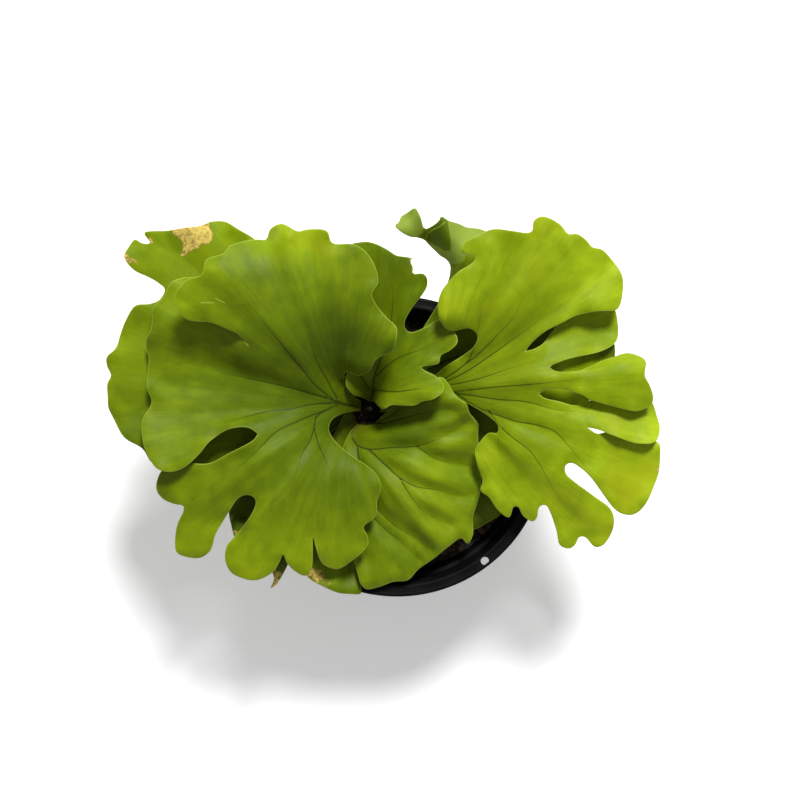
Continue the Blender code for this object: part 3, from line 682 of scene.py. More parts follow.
MIX_LEVEL = -18.0
MIX_WAVE = 1.2
MIX_CRUMB = 1.1
MIX_STEPS = 150
MIX_RINGS = 46
MIX_GAP = 0.6
FLAKE_LENGTHS = (1.6, 6.0)
FLAKE_TILT = 0.35
FLAKE_WALL_GAP = 5.0
FIBRE_INSET = 6
FIBRE_LENGTHS = (6, 15)
FIBRE_RADIUS = 0.16
FIBRE_PIECES = 7
FIBRE_BEND = 0.35
BARK_SHARP_ANGLE = 38
FLAKE_SQUARING = 0.7
FLAKE_BUMPS = 0.35
CHIP_LAYERS = 0.42
CHIP_PITS = 0.2
CHIP_SHRINK = 0.1


def mix_height(x, y):
    """Height of the potting mix, in millimetres above the ground, without its crumbs."""
    wave = math.sin(x * 0.16 + 1.0) * math.cos(y * 0.19) + 0.5 * math.sin(x * 0.31 - y * 0.27)
    return RIM_TOP + MIX_LEVEL + MIX_WAVE * wave / 1.5


def crumbled(x, y):
    """Height of the potting mix with its crumbs."""
    crumb = ripple((x, y, 0), 3.2) + 0.6 * ripple((x, y, 5), 1.4)
    return mix_height(x, y) + MIX_CRUMB * crumb


def make_potting_mix(settings, pot):
    """A turned body with a level base, sides that follow the pot and a crumbled top."""
    bottom = BASE_THICKNESS + MIX_GAP
    top = RIM_TOP + MIX_LEVEL - MIX_WAVE
    rim = wall_radius(pot, top, True) - MIX_GAP
    bm = bmesh.new()
    rings = []
    lowest = wall_radius(pot, bottom, True) - 2 * MIX_GAP
    rings.append([bm.verts.new((*polar(i * 360 / MIX_STEPS, lowest), bottom)) for i in range(MIX_STEPS)])
    for number in range(MIX_RINGS):
        reach = rim * (1 - number / MIX_RINGS)
        places = [polar(i * 360 / MIX_STEPS, reach) for i in range(MIX_STEPS)]
        rings.append([bm.verts.new((x, y, crumbled(x, y))) for x, y in places])
    skin(bm, rings)
    add_solid("potting_mix_body", bm, mix_material(settings), "bark_mix", "potting_mix")


def add_flake(bm, at, size, turn, tilt, seed):
    """One crumb of bark: a rough slab with broken corners. Size is its length, width and thickness."""
    made = bmesh.ops.create_icosphere(bm, subdivisions=2, radius=0.5)["verts"]
    cos, sin = math.cos(turn), math.sin(turn)
    for vert in made:
        x, y, z = (math.copysign(abs(2 * value) ** FLAKE_SQUARING, value) / 2 for value in vert.co)
        rough = 1 + FLAKE_BUMPS * ripple(vert.co, 0.4, seed)
        x, y, z = x * size[0] * rough, y * size[1] * rough, z * size[2]
        z += x * tilt
        vert.co = (at[0] + x * cos - y * sin, at[1] + x * sin + y * cos, at[2] + z)


def add_fibre(bm, x, y, turn, length, draw):
    """One bent coir fibre, a thin three-sided tube that lies on the mix."""
    bend = draw.uniform(-FIBRE_BEND, FIBRE_BEND)
    rings = []
    for number in range(FIBRE_PIECES + 1):
        turn += bend
        rise = max(0.8 + 0.7 * math.sin(number * 0.9 + bend * 9), 0.3)
        thin = FIBRE_RADIUS * (1 - 0.6 * abs(2 * number / FIBRE_PIECES - 1))
        side = Vector((-math.sin(turn), math.cos(turn), 0)) * thin
        at = Vector((x, y, mix_height(x, y) + rise))
        corners = (at + side, at - side * 0.5 + Vector((0, 0, thin)), at - side * 0.5 - Vector((0, 0, thin)))
        rings.append([bm.verts.new(corner) for corner in corners])
        x += math.cos(turn) * length / FIBRE_PIECES
        y += math.sin(turn) * length / FIBRE_PIECES
    skin(bm, rings)


def make_flakes(settings, pot):
    """Loose bark and coir strewn over the mix."""
    draw = random.Random(SEED)
    reach_limit = wall_radius(pot, mix_height(0, 0), True) - FLAKE_WALL_GAP
    bm = bmesh.new()
    for number in range(settings.flakes):
        x, y = polar(draw.uniform(0, 360), reach_limit * math.sqrt(draw.uniform(0.03, 1)))
        length = draw.uniform(*FLAKE_LENGTHS)
        size = (length, length * draw.uniform(0.4, 0.8), length * draw.uniform(0.15, 0.4))
        at = (x, y, mix_height(x, y) + 0.5)
        turn, tilt = draw.uniform(0, math.tau), draw.uniform(-FLAKE_TILT, FLAKE_TILT)
        add_flake(bm, at, size, turn, tilt, number)
    add_solid("loose_bark", bm, bark_material(settings), "bark_mix")
    bm = bmesh.new()
    for number in range(settings.fibres):
        x, y = polar(draw.uniform(0, 360), (reach_limit - FIBRE_INSET) * math.sqrt(draw.uniform(0.02, 1)))
        add_fibre(bm, x, y, draw.uniform(0, math.tau), draw.uniform(*FIBRE_LENGTHS), draw)
    add_solid("coir_fibres", bm, bark_material(settings), "bark_mix")


def cad_copy(node, cuts):
    """A finer copy of a CAD node's mesh, in millimetres."""
    bm = bmesh.new()
    bm.from_mesh(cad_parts[node].data)
    bmesh.ops.scale(bm, vec=(TO_MM, TO_MM, TO_MM), verts=bm.verts)
    bmesh.ops.remove_doubles(bm, verts=bm.verts, dist=0.01)
    bmesh.ops.subdivide_edges(bm, edges=bm.edges, cuts=cuts, use_grid_fill=True, smooth=0.6)
    bm.normal_update()
    return bm


def make_bark_chips(settings):
    """Each CAD chip again, split and flaked along its layers."""
    finish = bark_material(settings)
    for node in sorted(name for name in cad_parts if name.startswith("bark_chip")):
        bm = cad_copy(node, 2)
        for vert in bm.verts:
            layered = ripple((vert.co.x * 0.5, vert.co.y * 0.5, vert.co.z * 2.4), 1.6)
            pitted = ripple(vert.co, 1.1, 3.0)
            vert.co += vert.normal * (CHIP_LAYERS * layered + CHIP_PITS * pitted - CHIP_SHRINK)
        piece = add_solid(node.replace("chip", "piece"), bm, finish, "bark", node)
        piece.data.set_sharp_from_angle(angle=math.radians(BARK_SHARP_ANGLE))


# ---- crown and bud ---------------------------------------------------------------------------------------

# Along a scale: the share of its length, its girth there and the nearness to its tip.
SCALE_ROWS = ((0.0, 0.6, 0.1), (0.35, 1.0, 0.4), (0.7, 0.6, 0.75), (1.0, 0.06, 1.0))
SCALE_THICKNESS = 0.16
# Each (size, depth).
FELT_BUMPS = ((1.5, 0.5), (0.6, 0.25))
FURL_TURN = 3.0
FURL_DEPTH = 0.3
BUD_BUMPS = 0.08


def set_attribute(mesh, name, values):
    """Stores a number or a vector for each point of the mesh, for the material to read."""
    values = np.asarray(values, np.float32)
    kind, field = ("FLOAT_VECTOR", "vector") if values.ndim == 2 else ("FLOAT", "value")
    mesh.attributes.new(name, kind, "POINT").data.foreach_set(field, values.ravel())


def add_scale(bm, at, out, length, width, draw):
    """One papery scale: a thin pointed blade that curls up. Returns its points' nearness to the tip."""
    side = out.cross(Vector((0, 0, 1))).normalized()
    curl = draw.uniform(0.2, 0.9)
    lift = Vector((0, 0, SCALE_THICKNESS / 2))
    rows, tips = [], []
    for share, girth, tip in SCALE_ROWS:
        middle = at + out * length * share + Vector((0, 0, 1)) * length * curl * share * share
        half = side * width * girth / 2
        rows.append([bm.verts.new(p) for p in (middle - half, middle + lift, middle + half, middle - lift)])
        tips += [tip] * len(rows[-1])
    skin(bm, rows)
    return tips


def make_crown(settings):
    """The felted rhizome and its papery scales."""
    draw = random.Random(SEED + 1)
    low, high = (corner * TO_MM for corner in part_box("crown"))
    middle, half = (low + high) / 2, (high - low) / 2
    bm = cad_copy("crown", 2)
    for vert in bm.verts:
        vert.co += vert.normal * sum(depth * ripple(vert.co, size) for size, depth in FELT_BUMPS)
    tips = [0.1] * len(bm.verts)
    for _ in range(settings.scales):
        angle, rise = draw.uniform(0, math.tau), draw.uniform(-0.5, 1) ** 3
        flat = math.sqrt(max(0.0, 1 - rise * rise))
        out = Vector((math.cos(angle) * flat, math.sin(angle) * flat, rise * 0.6 + 0.1)).normalized()
        at = middle + Vector((out.x * half.x, out.y * half.y, rise * half.z)) * 0.93
        length = settings.scale_length * TO_MM * draw.uniform(0.5, 1.0)
        tips += add_scale(bm, at, out, length, draw.uniform(0.5, 1.0), draw)
    mesh = mesh_from("crown_scales", bm)
    set_attribute(mesh, "tip", tips)
    add_piece("crown_scales", mesh, crown_material(settings), "crown_fuzz", "crown")


def make_bud(settings):
    """The furled young frond: two folded lobes wrapped round each other, under down."""
    low, high = (corner * TO_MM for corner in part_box("new_bud"))
    bm = cad_copy("new_bud", 2)
    middle = (low + high) / 2
    for vert in bm.verts:
        angle = math.atan2(vert.co.y - middle.y, vert.co.x - middle.x)
        share = (vert.co.z - low.z) / (high.z - low.z)
        furl = abs(math.sin(angle + share * FURL_TURN))
        bump = BUD_BUMPS * ripple(vert.co, 0.5)
        vert.co += vert.normal * (FURL_DEPTH * furl - FURL_DEPTH / 2 + bump)
    tips = [(vert.co.z - low.z) / (high.z - low.z) for vert in bm.verts]
    mesh = mesh_from("furled_bud", bm)
    set_attribute(mesh, "tip", tips)
    add_piece("furled_bud", mesh, bud_material(settings), "bud", "new_bud")


# ---- fronds: the drawing ---------------------------------------------------------------------------------

class Drawing(NamedTuple):
    """A frond in plan, in millimetres. A point is (x, y), or (x, y, z) with a height above the pot's rim."""

    margins: list  # the free edge of each lobe
    heights: list  # points that the whole frond passes through
    focus: tuple  # where the soft folds gather
    veins: list  # the first starts at the frond's foot, and each other one at or near a vein before it
    tones: list  # (x, y, tone), from 0 for the oldest green to 1 for a young tip; some tones are set low only to paint shade, and some high only to paint light
    dry_spots: list = []  # (x, y, radius, strength)
    seams: list = []  # the lines that neighbouring lobes share
    lobe_heights: list = []  # for each lobe, more points that it passes through away from its seams
    creases: list = []  # pale lines, painted like a margin, where the real leaf has a fold or a scratch
    turned: list = []  # closed patches where the leaf shows its underside


FRONDS = {
    "shield_old": Drawing(
        margins=[[
            (-25, 19), (-39, 13), (-55, 3), (-71, -8), (-83, -18), (-88, -28), (-88, -35), (-87, -40),
            (-85, -48), (-80, -53), (-72, -57), (-68, -61), (-66, -66), (-65, -70), (-67, -75), (-64, -73),
            (-60, -67), (-57, -60), (-57, -47), (-60, -31), (-58, -17), (-49, -5), (-37, 6), (-25, 14),
        ]],
        heights=[
            (-25, 17, -10), (-39, 10, -9), (-52, -1, -6), (-60, -10, 0), (-71, -17, 5), (-82, -25, 9),
            (-87, -36, 9), (-85, -47, 7), (-71, -39, 4), (-59, -39, 3), (-71, -56, 4), (-65, -65, 3),
            (-66, -74, 1), (-58, -60, 4),
        ],
        focus=(-31, 15),
        veins=[
            [(-25, 16), (-47, 1), (-65, -18), (-80, -36)],
            [(-47, 1), (-57, -18), (-64, -39), (-66, -57)],
        ],
        tones=[(-62, -28, 0.1)],
        dry_spots=[(-65, -70, 9, 0.52), (-87, -37, 3.5, 0.5), (-85, -45, 3.5, 0.5)],
    ),
    "shield_left": Drawing(
        margins=[[
            (-19, 11), (-16, 3), (-13, -18), (-14, -45), (-19, -60), (-20, -70), (-19, -78), (-25, -78),
            (-32, -77), (-40, -73), (-47, -69), (-53, -60), (-57, -44), (-55, -26), (-47, -6), (-37, 2),
            (-32, 10), (-29, 16), (-26, 19), (-23, 17), (-22, 13),
        ]],
        heights=[
            (-21, 12, -10), (-25, 17, -7), (-30, 12, -6), (-25, 3, -8), (-39, -2, -8), (-52, -23, -3),
            (-56, -44, 2), (-50, -65, 4), (-38, -74, 4), (-25, -79, 3), (-20, -65, 2), (-25, -39, -3),
            (-31, -18, -6), (-17, -29, -2), (-38, -49, 2),
        ],
        focus=(-23, 9),
        veins=[
            [(-22, 11), (-28, -8), (-33, -29), (-35, -49), (-38, -68)],
            [(-28, -8), (-41, -23), (-49, -39), (-51, -52)],
            [(-28, -8), (-22, -29), (-24, -50), (-26, -70)],
        ],
        tones=[(-25, -71, 0.3), (-38, -68, 0.5), (-36, -29, 0.2)],
        dry_spots=[(-42, -68, 5, 0.62), (-46, -66, 4, 0.66), (-37, -72, 4, 0.47), (-50, -63, 4, 0.7)],
    ),
    "shield_right": Drawing(
        margins=[[
            (-8, 18), (4, 19), (23, 23), (39, 24), (51, 22), (59, 14), (63, 3), (63, -10), (65, -20),
            (62, -29), (56, -36), (48, -41), (41, -45), (29, -46), (15, -40), (2, -24), (-7, -5), (-10, 8),
            (-11, 14),
        ]],
        heights=[
            (-9, 16, -9), (2, 14, -7), (18, 8, 0), (23, -18, -2), (28, 21, 8), (43, 18, 12), (54, 16, 12),
            (44, 6, 7), (59, -2, 5), (44, -12, 3), (55, -29, -1), (48, -40, -4), (28, -40, -6), (7, -18, -6),
        ],
        focus=(-6, 14),
        veins=[
            [(-9, 16), (12, 9), (33, 1), (54, -4)],
            [(7, 11), (28, -7), (49, -23)],
            [(7, 3), (23, -18), (34, -37)],
        ],
        tones=[(23, -2, 0.15), (50, -34, 0.2)],
    ),
    "frond_left_back": Drawing(
        margins=[[
            (-21, 28), (-28, 38), (-37, 53), (-47, 71), (-55, 85), (-62, 96), (-71, 105), (-78, 109),
            (-85, 113), (-92, 113), (-97, 111), (-103, 110), (-113, 109), (-126, 108), (-125, 106),
            (-123, 103), (-127, 103), (-131, 105), (-134, 101), (-136, 96), (-132, 90), (-124, 86),
            (-119, 83), (-116, 80), (-119, 75), (-124, 73), (-131, 72), (-136, 66), (-140, 58), (-142, 51),
            (-147, 46), (-147, 42), (-145, 37), (-147, 33), (-147, 26), (-147, 20), (-143, 12), (-138, 5),
            (-130, 0), (-126, -7), (-120, -10), (-109, -13), (-94, -13), (-76, -9), (-61, 0), (-46, 10),
            (-33, 18), (-22, 23),
        ]],
        heights=[
            (-21, 26, -8), (-28, 27, -2), (-35, 29, 4), (-48, 35, 13), (-51, 25, 11), (-65, 45, 22),
            (-71, 25, 18), (-84, 65, 30), (-100, 45, 28), (-100, 25, 25), (-124, 60, 31), (-142, 52, 30),
            (-147, 26, 26), (-126, -3, 22), (-101, -1, 21), (-78, -7, 18), (-58, 4, 15), (-116, 80, 34),
            (-134, 97, 35), (-102, 110, 42), (-78, 108, 41), (-67, 95, 37), (-98, 92, 38), (-49, 66, 24),
        ],
        focus=(-28, 26),
        veins=[
            [(-22, 26), (-40, 30), (-65, 36), (-100, 39), (-130, 37)],
            [(-40, 30), (-70, 55), (-91, 80), (-103, 93), (-115, 102)],
            [(-35, 29), (-57, 65), (-73, 90), (-83, 102)],
            [(-51, 28), (-81, 25), (-110, 20), (-131, 17)],
        ],
        tones=[
            (-134, 95, 0.6), (-118, 99, 0.62), (-80, 104, 0.7), (-83, 94, 0.55), (-116, 97, 0.45),
            (-140, 55, 0.6), (-146, 30, 0.5), (-134, 9, 0.3), (-124, 65, 0.45), (-75, 45, 0.3),
        ],
        dry_spots=[
            (-110, 109, 4, 0.55), (-107, 109, 5, 0.75), (-103, 108, 7, 0.95), (-98, 110, 7, 1),
            (-95, 106, 5, 0.95), (-100, 104, 5, 0.85), (-104, 101, 4, 0.75), (-106, 98, 3, 0.55),
            (-135, 95, 4, 0.62), (-131, 94, 2.5, 0.5), (-123, 104, 2, 0.8),
        ],
    ),
    "frond_right_back": Drawing(
        margins=[[
            (-10, 26), (-1, 36), (7, 47), (12, 59), (16, 66), (21, 74), (24, 81), (26, 85), (27, 89),
            (27, 93), (25, 96), (22, 98), (19, 101), (16, 104), (14, 106), (10, 107), (7, 107), (2, 109),
            (-1, 112), (1, 114), (2, 117), (5, 119), (9, 121), (10, 120), (12, 116), (14, 111), (18, 112),
            (21, 114), (22, 116), (26, 114), (32, 113), (35, 112), (42, 111), (52, 105), (67, 93), (85, 80),
            (103, 65), (110, 53), (110, 42), (103, 30), (93, 21), (78, 19), (59, 25), (38, 29), (18, 28),
            (2, 24), (-8, 23),
        ]],
        heights=[
            (-9, 24, -7), (-1, 30, -3), (7, 36, 1), (15, 51, 8), (25, 41, 5), (20, 71, 16), (25, 89, 24),
            (16, 105, 27), (22, 115, 40), (18, 112, 36), (21, 101, 26), (25, 97, 28), (26, 105, 37),
            (28, 97, 33), (33, 101, 36), (33, 112, 31), (11, 109, 31), (3, 116, 33), (2, 110, 36),
            (42, 106, 32), (62, 90, 31), (42, 66, 24), (63, 45, 22), (43, 30, 9), (83, 70, 29), (98, 61, 28),
            (108, 53, 28), (103, 30, 28), (83, 25, 28), (77, 45, 31), (88, 42, 31),
        ],
        focus=(-3, 27),
        veins=[
            [(-9, 24), (2, 33), (17, 54), (25, 71), (29, 90), (27, 102)],
            [(2, 33), (28, 46), (58, 55), (87, 58)],
            [(4, 30), (33, 38), (68, 37), (93, 35)],
        ],
        creases=[
            [(24, 113), (21, 111), (18, 110), (15, 108), (15, 106)],
        ],
        turned=[
            [(15, 112), (12, 109), (10, 106), (2, 104), (-6, 109), (-3, 119), (8, 125), (14, 117)],
            [
                (22, 117), (25, 114), (26, 110), (27, 103), (27, 99), (34, 98), (43, 96), (48, 105),
                (47, 118), (32, 121),
            ],
            [
                (13, 107), (15, 106), (18, 104), (21, 102), (24, 100), (27, 99), (34, 98), (34, 94),
                (30, 93), (26, 94), (22, 95), (17, 99),
            ],
        ],
        # Some of these tones paint light and shade: the highest, under the slits of the right front frond,
        # paint light on leaf lying in that frond's shadow; the lowest paint the shade in the first slit and
        # on the dark strip beside the turned flap.
        tones=[
            (22, 101, 0.3), (4, 115, 0.6), (37, 108, 0.62), (22, 109, 0.05), (22, 76, 0.15), (72, 56, 0.1),
            (83, 26, 1), (85, 41, 0.95), (98, 45, 0.7), (107, 49, 0.2),
        ],
    ),
    "frond_right_front": Drawing(
        margins=[[
            (-9, 23), (2, 29), (12, 34), (20, 38), (25, 42), (33, 47), (39, 52), (40, 57), (36, 60),
            (26, 59), (21, 64), (20, 71), (22, 78), (26, 83), (30, 87), (35, 90), (38, 93), (37, 95),
            (31, 96), (32, 100), (39, 104), (46, 107), (56, 106), (65, 106), (66, 111), (70, 113), (79, 109),
            (83, 105), (87, 105), (92, 102), (95, 99), (100, 98), (107, 92), (111, 84), (110, 72), (108, 69),
            (98, 68), (88, 66), (82, 63), (78, 61), (74, 59), (70, 56), (66, 52),
        ], [
            (68, 50), (73, 53), (76, 57), (79, 61), (82, 66), (92, 71), (104, 73), (109, 71), (111, 65),
            (111, 56), (109, 53), (102, 49), (89, 46), (82, 44), (76, 41), (79, 39), (89, 39), (95, 41),
            (101, 44), (107, 46), (114, 48), (121, 46), (123, 44), (122, 37), (125, 32), (127, 26),
            (126, 22), (122, 20), (118, 19), (113, 20), (105, 22), (98, 24), (95, 25), (92, 27), (89, 28),
            (83, 30), (75, 30),
        ], [
            (73, 26), (81, 24), (89, 22), (94, 23), (98, 25), (104, 28), (115, 29), (125, 28), (129, 23),
            (131, 17), (132, 10), (129, 4), (120, 3), (113, 5), (105, 8), (100, 10),
        ], [
            (100, 8), (107, 9), (116, 8), (125, 6), (132, 3), (133, -2), (133, -12), (129, -23), (124, -32),
            (120, -34), (114, -33), (110, -30), (99, -16), (93, -10), (88, -7), (85, -8), (85, -12),
            (89, -16), (100, -24), (109, -31), (111, -37), (110, -44), (106, -50), (102, -51), (97, -46),
            (94, -46), (92, -50), (89, -52), (84, -50), (82, -42), (79, -34), (76, -29), (73, -30),
            (72, -36), (70, -38), (65, -35), (62, -30), (60, -30), (58, -36), (52, -32), (47, -25),
            (43, -22), (44, -17), (41, -8), (40, -1), (43, 4), (47, 8), (51, 8), (51, 12), (47, 16),
            (41, 20), (33, 24), (22, 25), (9, 22), (-9, 18),
        ]],
        seams=[
            [(-9, 22), (7, 27), (25, 32), (39, 38), (54, 45), (64, 49)],
            [(-9, 20), (7, 25), (25, 29), (44, 29), (59, 28), (71, 28)],
            [(-9, 19), (7, 23), (25, 27), (47, 24), (69, 18), (84, 14), (95, 11)],
        ],
        heights=[
            (-9, 21, -2), (-1, 24, 4), (7, 25, 9), (17, 28, 17), (25, 30, 22), (32, 31, 26), (42, 39, 31),
            (54, 45, 36), (64, 49, 40), (44, 29, 31), (59, 28, 35), (72, 27, 38), (52, 22, 32), (72, 17, 36),
            (95, 11, 38), (84, 14, 37),
        ],
        lobe_heights=[[
            (33, 46, 29), (40, 55, 38), (36, 62, 44), (24, 66, 48), (22, 78, 50), (38, 92, 54), (55, 74, 48),
            (60, 97, 54), (71, 110, 58), (94, 98, 50), (110, 81, 46), (95, 74, 48), (80, 64, 46),
            (73, 55, 43), (65, 69, 46), (46, 59, 40),
        ], [
            (74, 56, 38), (89, 62, 37), (107, 69, 34), (108, 55, 33), (91, 49, 38), (77, 40, 40),
            (91, 35, 42), (110, 44, 43), (122, 44, 42), (125, 29, 42), (118, 21, 42), (100, 25, 43),
            (81, 31, 40),
        ], [
            (84, 23, 36), (102, 27, 33), (122, 25, 32), (130, 17, 33), (129, 5, 37), (114, 6, 38),
            (106, 17, 37),
        ], [
            (107, 7, 33), (130, 2, 31), (131, -16, 27), (119, -32, 24), (102, -11, 32), (86, -8, 32),
            (104, -31, 24), (108, -45, 20), (90, -50, 19), (83, -26, 26), (72, -5, 32), (68, -34, 20),
            (53, -29, 19), (45, -22, 20), (42, -1, 22), (47, 7, 25), (57, 5, 30), (51, 15, 28), (41, 21, 27),
            (33, 24, 25),
        ]],
        focus=(22, 29),
        veins=[
            [(-9, 21), (7, 26), (25, 36), (40, 47), (50, 57), (57, 65), (60, 71), (64, 86)],
            [(25, 34), (35, 39), (47, 47), (58, 55), (65, 60), (72, 65), (87, 74)],
            [(25, 32), (40, 35), (52, 39), (61, 42), (68, 44), (75, 47)],
            [(17, 28), (30, 29), (47, 31), (61, 32), (81, 34), (102, 37)],
            [(25, 29), (38, 27), (51, 25), (64, 24), (79, 20), (88, 19), (106, 16)],
            [(30, 28), (43, 20), (51, 17), (60, 14), (71, 12), (79, 9), (85, 3), (97, -11), (113, -24)],
            [(47, 19), (51, 13), (58, 6), (66, 0), (72, -8), (83, -26), (94, -37)],
            [(37, 46), (40, 57), (41, 69), (39, 81)],
            [(51, 13), (52, -1), (53, -16)],
        ],
        tones=[
            (24, 69, 0.85), (28, 81, 0.75), (50, 97, 0.65), (71, 107, 0.8), (47, 100, 0.72), (99, 88, 0.9),
            (107, 76, 0.85), (70, 78, 0.62), (41, 55, 0.45), (61, 54, 0.5), (61, 35, 0.55), (102, 32, 0.8),
            (97, 60, 0.6), (107, 57, 0.6), (120, 40, 0.72), (102, 32, 0.6), (122, 25, 0.6), (129, 10, 0.98),
            (106, 15, 0.75), (131, -16, 1), (116, -29, 0.95), (102, -5, 0.8), (72, 5, 0.55), (52, 25, 0.4),
            (32, 31, 0.35), (104, -37, 0.85), (89, -47, 0.75), (68, -32, 0.8), (68, -16, 0.8),
            (48, -27, 0.85), (43, -1, 0.75), (62, -11, 0.6),
        ],
        dry_spots=[(132, -11, 1.5, 0.6), (40, -10, 1.5, 0.3)],
    ),
    "shield_front": Drawing(
        margins=[[
            (-11, 13), (-7, 17), (-2, 21), (5, 24), (10, 29), (15, 34), (20, 36), (23, 36), (26, 33),
            (29, 28), (32, 25), (35, 23), (37, 18), (39, 16), (42, 12), (42, 7), (43, -5), (44, -17),
            (43, -26), (40, -37), (40, -46), (37, -51), (34, -48), (27, -52), (19, -59), (11, -65), (6, -70),
            (-2, -71), (-10, -74), (-16, -75), (-19, -72), (-20, -69), (-23, -59), (-28, -44), (-31, -25),
            (-30, -9), (-28, 1), (-24, 9), (-21, 12),
        ]],
        heights=[
            (-17, 13, -4), (-14, 8, 5), (-6, 14, 8), (2, 18, 14), (12, 21, 21), (20, 32, 29), (27, 30, 31),
            (35, 22, 30), (42, 10, 17), (12, 9, 21), (26, 9, 23), (33, -1, 15), (43, -17, 10), (38, -49, 5),
            (25, -51, 8), (2, -68, 6), (-17, -74, 5), (-23, -59, 6), (-14, -49, 9), (4, -27, 17),
            (17, -17, 18), (-6, -6, 16), (-27, -12, 8), (-29, -38, 6), (-25, 8, 1), (21, -35, 13),
        ],
        focus=(-24, 8),
        veins=[
            [(-22, 12), (-24, 6), (-21, 1), (-15, -1), (-3, 0), (10, 1), (19, 4), (30, 9), (35, 13)],
            [(10, 1), (21, -6), (33, -9), (41, -11)],
            [(-15, -1), (-7, -8), (1, -15), (10, -20), (21, -22), (31, -25), (41, -26)],
            [(1, -15), (8, -26), (15, -34), (28, -41)],
            [(-21, 1), (-19, -12), (-16, -23), (-10, -32), (-2, -40), (8, -47), (18, -55)],
            [(-16, -23), (-13, -35), (-6, -43), (1, -49), (12, -60)],
            [(-19, -12), (-24, -28), (-24, -44), (-18, -59)],
            [(-20, 12), (-13, 12), (-5, 13), (6, 16), (18, 19), (29, 20)],
            [(-13, 12), (-4, 16), (7, 25), (18, 31)],
        ],
        # The three lowest tones near the top paint the shadow that the middle frond casts across this shield.
        tones=[
            (22, 34, 0.6), (35, 20, 0.6), (12, 20, 0.15), (4, 9, 0.05), (2, 17, 0.05), (-16, 6, 0.36),
            (12, -11, 0.6), (17, -17, 0.62), (27, -1, 0.5), (-9, -27, 0.3), (22, -27, 0.5), (2, -59, 0.4),
            (28, -43, 0.5), (-14, -70, 0.45), (-25, -12, 0.3),
        ],
        dry_spots=[(18, -36, 5, 0.4)],
    ),
    "frond_middle": Drawing(
        margins=[[
            (-15, 24), (-18, 26), (-22, 27), (-24, 29), (-26, 32), (-26, 36), (-25, 41), (-25, 50),
            (-26, 65), (-27, 80), (-27, 92), (-26, 99), (-23, 102), (-19, 103), (-14, 103), (-5, 99),
            (0, 96), (5, 95), (9, 94), (7, 94), (7, 92), (8, 90), (8, 87), (11, 87), (13, 87), (15, 85),
            (15, 81), (12, 76), (8, 71), (4, 64), (4, 61), (6, 59), (9, 59), (14, 61), (19, 64), (23, 65),
            (27, 61), (30, 56), (30, 53), (26, 49), (22, 47), (21, 43), (17, 42), (12, 41), (15, 39),
            (19, 37), (23, 33), (23, 29), (18, 25), (13, 24), (9, 22), (2, 22), (-3, 22), (-7, 20),
            (-10, 22), (-12, 24),
        ]],
        heights=[
            (-14, 24, 1), (-14, 28, 6), (-13, 32, 11), (-18, 27, 13), (-24, 31, 21), (-25, 39, 24),
            (-19, 38, 18), (-12, 40, 18), (-11, 50, 25), (-24, 55, 28), (-3, 55, 30), (22, 57, 36),
            (29, 54, 38), (-9, 70, 33), (-12, 89, 40), (-23, 100, 40), (4, 93, 44), (14, 83, 42),
            (4, 70, 37), (-2, 42, 27), (9, 41, 33), (22, 33, 38), (14, 25, 37), (2, 23, 31), (-7, 21, 25),
            (-11, 23, 17), (-6, 31, 22), (7, 32, 33),
        ],
        focus=(-14, 27),
        veins=[
            [(-14, 24), (-13, 29), (-12, 36), (-9, 44), (-4, 58), (-2, 75), (-3, 89)],
            [(-13, 29), (-16, 33), (-19, 38), (-21, 50)],
            [(-12, 36), (-1, 45), (12, 50), (24, 55)],
            [(-12, 30), (-2, 29), (9, 30), (19, 32)],
        ],
        # The lowest tone, just above the foot, paints the shade in the frond's funnel.
        tones=[
            (-18, 99, 0.4), (-1, 93, 0.15), (-12, 75, 0.25), (9, 79, 0.35), (-1, 57, 0.32), (27, 55, 0.36),
            (-11, 43, 0.1), (-2, 40, 0.36), (17, 30, 0.5), (22, 32, 0.42), (-3, 25, 0.5), (-23, 32, 0.35),
        ],
        dry_spots=[(4, 95, 2, 0.5)],
    ),
    "frond_left_front": Drawing(
        margins=[[
            (-19, 24), (-22, 26), (-25, 29), (-27, 33), (-27, 37), (-26, 39), (-23, 38), (-19, 37),
            (-14, 39), (-10, 45), (-2, 49), (0, 56), (0, 60), (-5, 65), (-10, 71), (-12, 76), (-9, 81),
            (-10, 88), (-15, 96), (-21, 99), (-31, 100), (-33, 105), (-43, 106), (-47, 105), (-55, 109),
            (-61, 107), (-63, 102), (-67, 102), (-79, 98), (-82, 94), (-90, 91), (-92, 84), (-99, 82),
            (-104, 77), (-106, 72), (-104, 67), (-100, 63), (-90, 62), (-82, 59), (-76, 56),
        ], [
            (-77, 57), (-85, 68), (-92, 78), (-98, 84), (-103, 85), (-108, 84), (-111, 82), (-115, 75),
            (-120, 70), (-121, 61), (-125, 53), (-124, 45), (-125, 31), (-123, 24), (-127, 15), (-127, 8),
            (-124, -2), (-119, -9), (-113, -11), (-106, -9), (-98, -2), (-93, 4), (-84, 10), (-74, 11),
        ], [
            (-71, 5), (-84, -2), (-94, -7), (-104, -7), (-115, -8), (-120, -13), (-122, -21), (-119, -26),
            (-114, -28), (-108, -29), (-108, -31), (-112, -39), (-114, -49), (-113, -54), (-103, -57),
            (-96, -53), (-92, -43), (-85, -32), (-80, -25), (-76, -23), (-72, -24), (-71, -27), (-74, -34),
            (-82, -44), (-87, -50), (-88, -57), (-85, -64), (-79, -67), (-72, -68), (-64, -64), (-60, -58),
            (-58, -54), (-56, -59), (-52, -64), (-47, -66), (-44, -62), (-43, -51), (-43, -45), (-41, -52),
            (-38, -60), (-31, -63), (-24, -59), (-15, -50), (-15, -45), (-17, -40), (-11, -35), (-10, -27),
            (-8, -20), (-10, -14), (-15, -9), (-24, -3), (-32, 4), (-35, 10), (-33, 15), (-27, 18),
            (-19, 19),
        ]],
        seams=[
